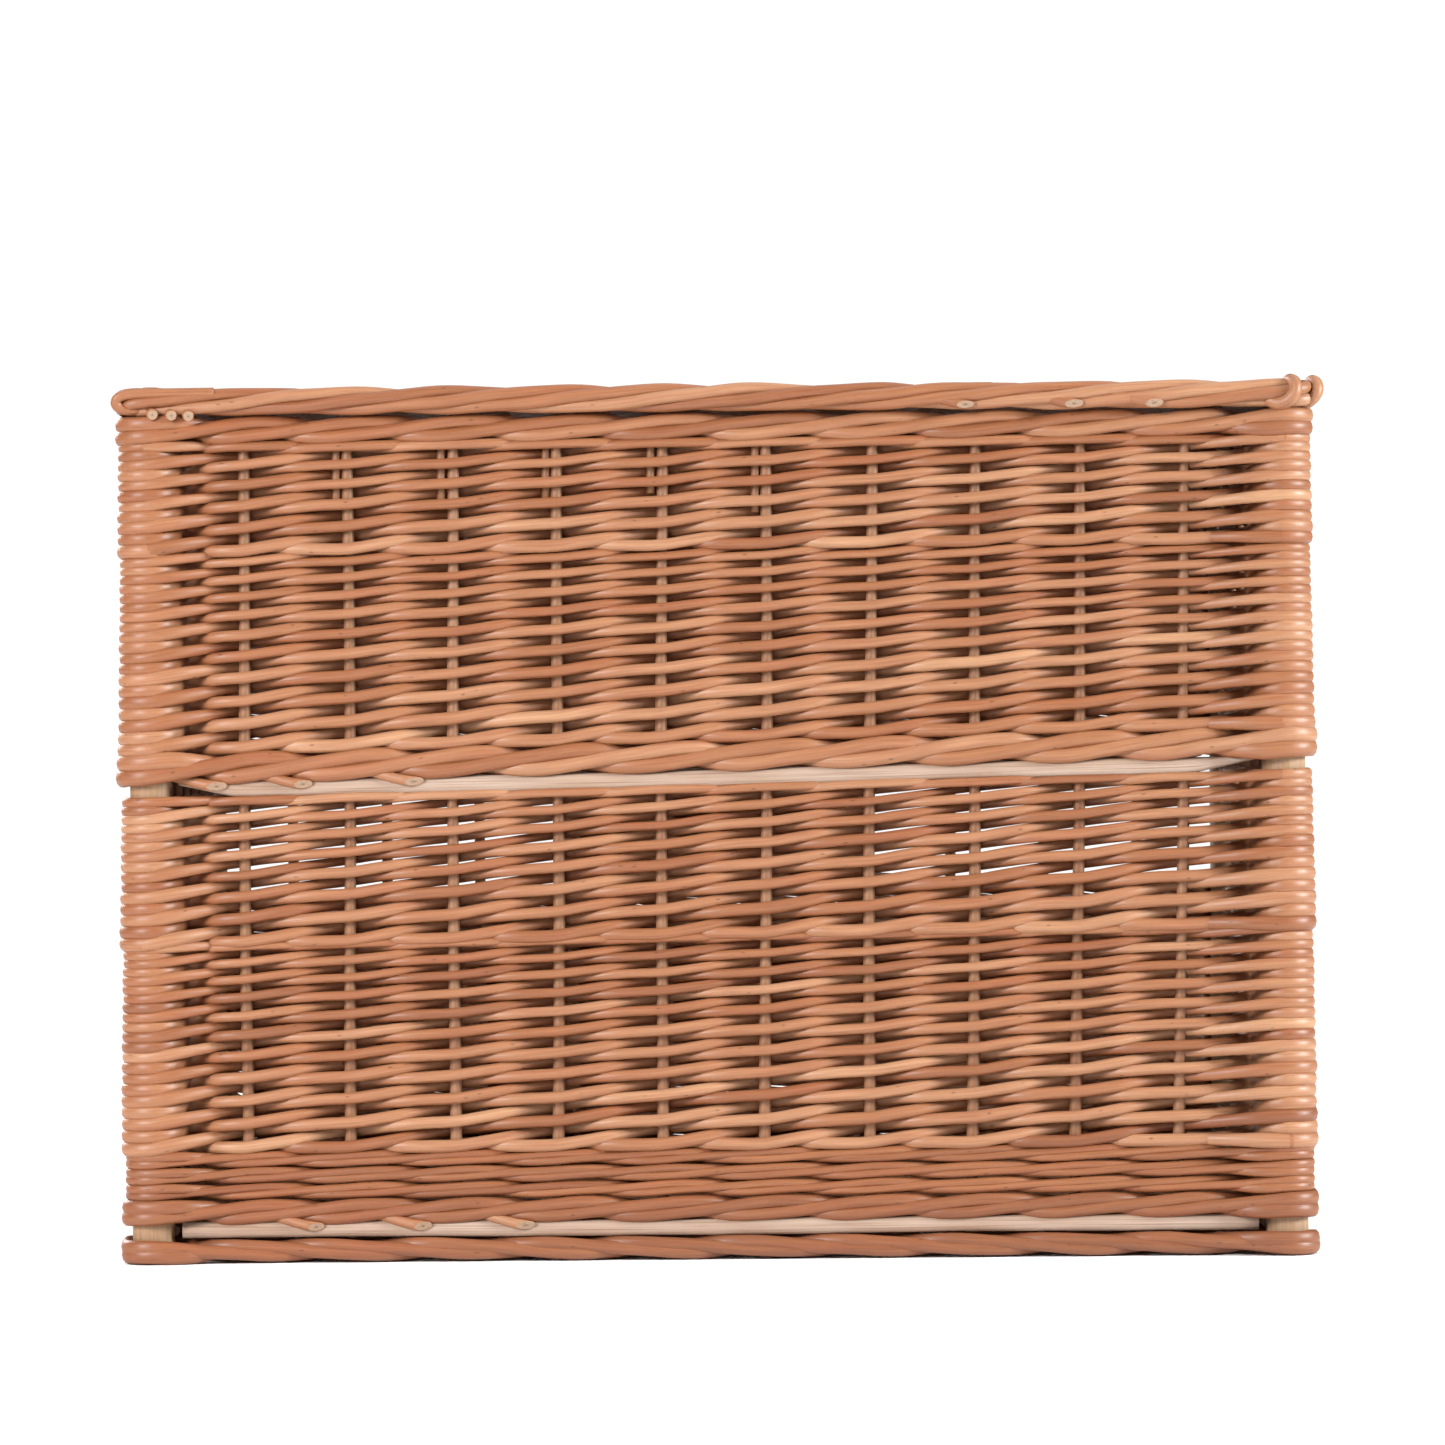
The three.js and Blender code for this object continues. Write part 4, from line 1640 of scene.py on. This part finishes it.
    def _outline(self, low: Vector, high: Vector, inset: float) -> tuple[np.ndarray, np.ndarray]:
        """Draw the rope's middle line, anticlockwise from the front left.

        Args:
            low: The border's lower corner.
            high: The border's upper corner.
            inset: How far inside the border's edge the line lies.

        Returns:
            The line's points in plan, and the outward direction at each.
        """
        x0, x1, y0, y1 = low.x + inset, high.x - inset, low.y + inset, high.y - inset
        r = self.corner
        centre, outward = [], []
        corners = ((x1 - r, y0 + r, -90), (x1 - r, y1 - r, 0), (x0 + r, y1 - r, 90), (x0 + r, y0 + r, 180))
        previous = np.array([x0 + r, y0])
        for cx, cy, begin in corners:
            angle = np.radians(begin + np.linspace(0, 90, 6))
            arc = np.column_stack([cx + r * np.cos(angle), cy + r * np.sin(angle)])
            steps = max(2, round(np.linalg.norm(arc[0] - previous) / self.STEP))
            t = np.arange(1, steps)[:, None] / steps
            straight = previous + (arc[0] - previous) * t
            normal = np.array([math.cos(math.radians(begin)), math.sin(math.radians(begin))])
            centre += [straight, arc]
            outward += [np.tile(normal, (len(straight), 1)), np.column_stack([np.cos(angle), np.sin(angle)])]
            previous = arc[-1]
        return np.vstack(centre), np.vstack(outward)


@dataclass
class HingeRings:
    """Rings of twisted willow that tie the lid to the rear rim."""

    twists: int = 11
    strand: float = 0.56  # a strand's radius, as a share of the rope's
    steps: int = 97
    seed: int = 31

    def build(self, finishes: Finishes) -> None:
        """Make both rings, each of two strands twisted together.

        Args:
            finishes: The materials.
        """
        random = np.random.default_rng(self.seed)
        for place in ("left", "right"):
            low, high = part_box(f"hinge_ring_{place}")
            centre = (low + high) / 2
            rope = (high.x - low.x) / 2
            ring = (high.z - low.z) / 2 - rope
            bundle = RodBundle(f"hinge_ring_{place}_rope", finishes.stake, finishes.cut, 8)
            strand_radius = self.strand * rope
            for strand in range(2):
                t = np.linspace(0, 1, self.steps)
                angle = 2 * np.pi * t
                twist = 2 * np.pi * (self.twists * t + strand / 2)
                out = ring + (rope - strand_radius) * np.cos(twist)
                points = np.column_stack([
                    centre.x + (rope - strand_radius) * np.sin(twist),
                    centre.y + out * np.cos(angle),
                    centre.z + out * np.sin(angle),
                ])
                radii = np.full(self.steps, strand_radius)
                bundle.add(Rod(points, radii, random.beta(*STICK_TONES), up=(1.0, 0.0, 0.0)))
            bundle.build("basket", "buff_willow_stake", f"hinge_ring_{place}")


# ------------------------------------------------------------------- studio
@dataclass(frozen=True)
class Softbox:
    """A square soft light, aimed at the hamper's middle."""

    name: str
    place: tuple[float, float, float]
    size: float
    watts: float
    tint: str = "#ffffff"
    AIM: ClassVar[tuple[float, float, float]] = (0, 0, 0.22)

    def build(self) -> None:
        """Hang the light."""
        light = bpy.data.lights.new(self.name, "AREA")
        light.size = self.size
        light.energy = self.watts
        light.color = linear(self.tint)[:3]
        lamp = bpy.data.objects.new(self.name, light)
        lamp.location = self.place
        aim = Vector(self.AIM) - Vector(self.place)
        lamp.rotation_euler = aim.to_track_quat("-Z", "Y").to_euler()
        bpy.context.scene.collection.objects.link(lamp)


@dataclass
class Studio:
    """A pale floor, soft light from both sides in front, and the camera square to the front wall."""

    lens: float = 169.0
    distance: float = 3.4
    height: float = 0.270
    aside: float = 0.003
    roll: float = math.radians(0.48)
    floor_half: float = 1.6
    seen: float = 1.05  # the surround's brightness to the eye
    fill: tuple[float, float] = (0.42, 0.05)  # its light on the hamper, from the walls and from the ceiling
    wall_top: tuple[float, float] = (0.11, 0.17)  # the upward share of direction where the walls give way
    softboxes: tuple[Softbox, ...] = (
        Softbox("key_left", (-2.0, -2.4, 1.25), 1.0, 128),
        Softbox("key_right", (3.0, -1.2, 1.35), 1.0, 205, "#f2fcff"),
        Softbox("overhead", (0.0, 0.2, 2.8), 4.0, 70),
        Softbox("rear_fill", (-1.9, 2.6, 1.5), 1.5, 75),
    )

    def build(self) -> None:
        """Make the floor, the lights, the world and the camera."""
        scene = bpy.context.scene
        scene.view_settings.view_transform = "Standard"
        self._floor()
        world = bpy.data.worlds.new("studio")
        scene.world = world
        world.use_nodes = True
        self._walls_and_ceiling(world.node_tree)
        for softbox in self.softboxes:
            softbox.build()
        self._camera()

    def _walls_and_ceiling(self, tree: bpy.types.NodeTree) -> None:
        """Surround the studio with white to look at, which lights the hamper only dimly.

        Args:
            tree: The world's node tree.
        """
        direction = add_node(tree, "ShaderNodeTexCoord").outputs["Generated"]
        height = add_node(tree, "ShaderNodeSeparateXYZ", inputs={0: direction}).outputs["Z"]
        limits = dict(zip(("From Min", "From Max", "To Min", "To Max"), self.wall_top + self.fill))
        fill = add_node(tree, "ShaderNodeMapRange", inputs={"Value": height, **limits})
        seen = add_node(tree, "ShaderNodeLightPath").outputs["Is Camera Ray"]
        strength = add_node(
            tree, "ShaderNodeMapRange", inputs={"Value": seen, "To Min": fill.outputs[0], "To Max": self.seen}
        )
        background = tree.nodes["Background"]
        background.inputs["Color"].default_value = (1.0, 1.0, 1.0, 1.0)
        tree.links.new(strength.outputs[0], background.inputs["Strength"])

    def _floor(self) -> None:
        """Lay a plain pale floor under the hamper."""
        size = self.floor_half
        mesh = bpy.data.meshes.new("floor")
        corners = [(-size, -size, 0), (size, -size, 0), (size, size, 0), (-size, size, 0)]
        mesh.from_pydata(corners, [], [(0, 1, 2, 3)])
        material, shader = new_material("floor_paper_matt")  # seamless background paper: matt and nearly white
        shader.inputs["Base Color"].default_value = linear("#faf9f8")
        shader.inputs["Roughness"].default_value = 0.9
        mesh.materials.append(material)
        floor = bpy.data.objects.new("floor", mesh)
        bpy.context.scene.collection.objects.link(floor)

    def _camera(self) -> None:
        """Set up the camera, level and square to the front wall, a touch above its middle."""
        data = bpy.data.cameras.new("camera")
        data.lens = self.lens
        data.sensor_width = 36.0
        camera = bpy.data.objects.new("camera", data)
        camera.location = (self.aside, CAD_BOX[0][1] - self.distance, self.height)
        camera.rotation_euler = (math.pi / 2, self.roll, 0.0)
        bpy.context.scene.collection.objects.link(camera)
        bpy.context.scene.camera = camera


LOWER_SPLIT = 0.585  # where a tier's first band gives way to its second, as a share of the tier's height
UPPER_SPLIT = 0.645
BUTT, TIP = 3.0 * MM, 2.0 * MM  # a weaver's radius at its two ends
THICK_ROW = 12.6 * MM  # the height of the lower wale's thick row
EYE_INSET = 16.5 * MM  # how far in front of a hinge ring's middle it goes through the lid


def randed_bands() -> tuple[RandedBand, ...]:
    """Plan the two bands of each tier.

    Returns:
        The bands, from the bottom up.
    """
    lower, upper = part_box("lower_weave_front"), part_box("upper_weave_front")
    window = Window()
    lower_nodes, upper_nodes = (
        tuple(f"{tier}_weave_{wall}" for wall in ("front", "right", "rear", "left")) for tier in ("lower", "upper")
    )
    lower_split = lower[0].z + LOWER_SPLIT * (lower[1].z - lower[0].z)
    upper_split = upper[0].z + UPPER_SPLIT * (upper[1].z - upper[0].z)
    return (
        RandedBand(
            "lower_weave_first_band", lower[0].z, lower_split, BUTT, TIP, (6.1 * MM, 4.1 * MM), lower_nodes, 101, window
        ),
        RandedBand(
            "lower_weave_second_band", lower_split, lower[1].z, BUTT, 2.15 * MM, (6.2 * MM, 4.3 * MM), lower_nodes, 102,
            window,
        ),
        RandedBand(
            "upper_weave_first_band", upper[0].z, upper_split, BUTT, TIP, (6.1 * MM, 4.0 * MM), upper_nodes, 103
        ),
        RandedBand(
            "upper_weave_second_band", upper_split, upper[1].z, 2.8 * MM, 2.3 * MM, (5.5 * MM, 4.6 * MM), upper_nodes,
            104,
        ),
    )


def waled_rows() -> tuple[Wale, ...]:
    """Plan the foot border and the wales.

    Returns:
        The wales, from the bottom up.
    """
    foot, low, mid, top = (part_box(name) for name in ("foot_border", "lower_wale", "mid_wale", "top_wale"))
    thick_top = low[0].z + THICK_ROW
    return (
        Wale(
            "foot_border_rods", foot[0].z + 0.9 * MM, foot[1].z, 1, 3.5 * MM, "foot_border", 201, climb=-1, paleness=0.2
        ),
        Wale(
            "lower_wale_thick_row", low[0].z, thick_top, 1, 3.3 * MM, "lower_wale", 202, butts_at=(1, 2, 3),
            paleness=0.2,
        ),
        Wale(
            "lower_wale_fine_rows", thick_top, low[1].z, 3, 2.15 * MM, "lower_wale", 203, paleness=0.35,
            rear_fullness=1.2,
        ),
        Wale("mid_wale_rods", mid[0].z, mid[1].z, 1, 3.9 * MM, "mid_wale", 204, butts_at=(0, 1, 2)),
        Wale("top_wale_rods", top[0].z, top[1].z, 1, 3.4 * MM, "top_wale", 205),
    )


def panels() -> tuple[RandedPanel, RandedPanel]:
    """Plan the base and the lid's panel.

    Returns:
        The base, then the lid's panel with the eyes that the hinge rings go through.
    """
    base, panel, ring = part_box("base_weave"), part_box("lid_weave"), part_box("hinge_ring_right")
    eye_y = (ring[0].y + ring[1].y) / 2 - EYE_INSET
    return (
        RandedPanel(
            "base_weave_rods", "basket", "base_weave", (base[0].z + base[1].z) / 2, 2.6 * MM, 3.0 * MM,
            (2.5 * MM, 1.8 * MM), 301, margin=3 * MM,
        ),
        RandedPanel(
            "lid_weave_rods", "lid", "lid_weave", (panel[0].z + panel[1].z) / 2 + 0.7 * MM, 2.4 * MM, 3.2 * MM,
            (2.3 * MM, 1.7 * MM), 302, eyes=tuple((s * (ring[0].x + ring[1].x) / 2, eye_y) for s in (-1, 1)),
            end_sticks=("lid_end_stick_left", "lid_end_stick_right"), margin=-2.5 * MM,
        ),
    )


def main() -> None:
    """Build the studio, then the hamper from its uprights to its lid."""
    logging.basicConfig(level=logging.INFO, format="%(message)s")
    Studio().build()
    finishes, walls, settle = Finishes(), Walls(), Settling()
    Uprights().build(walls, finishes, settle)
    for rows in (*randed_bands(), *waled_rows()):
        rows.build(walls, finishes, settle)
    Laths().build(finishes, settle)
    for panel in panels():
        panel.build(walls, finishes)
    LidBorder().build(finishes)
    HingeRings().build(finishes)


if __name__ == "__main__":
    main()
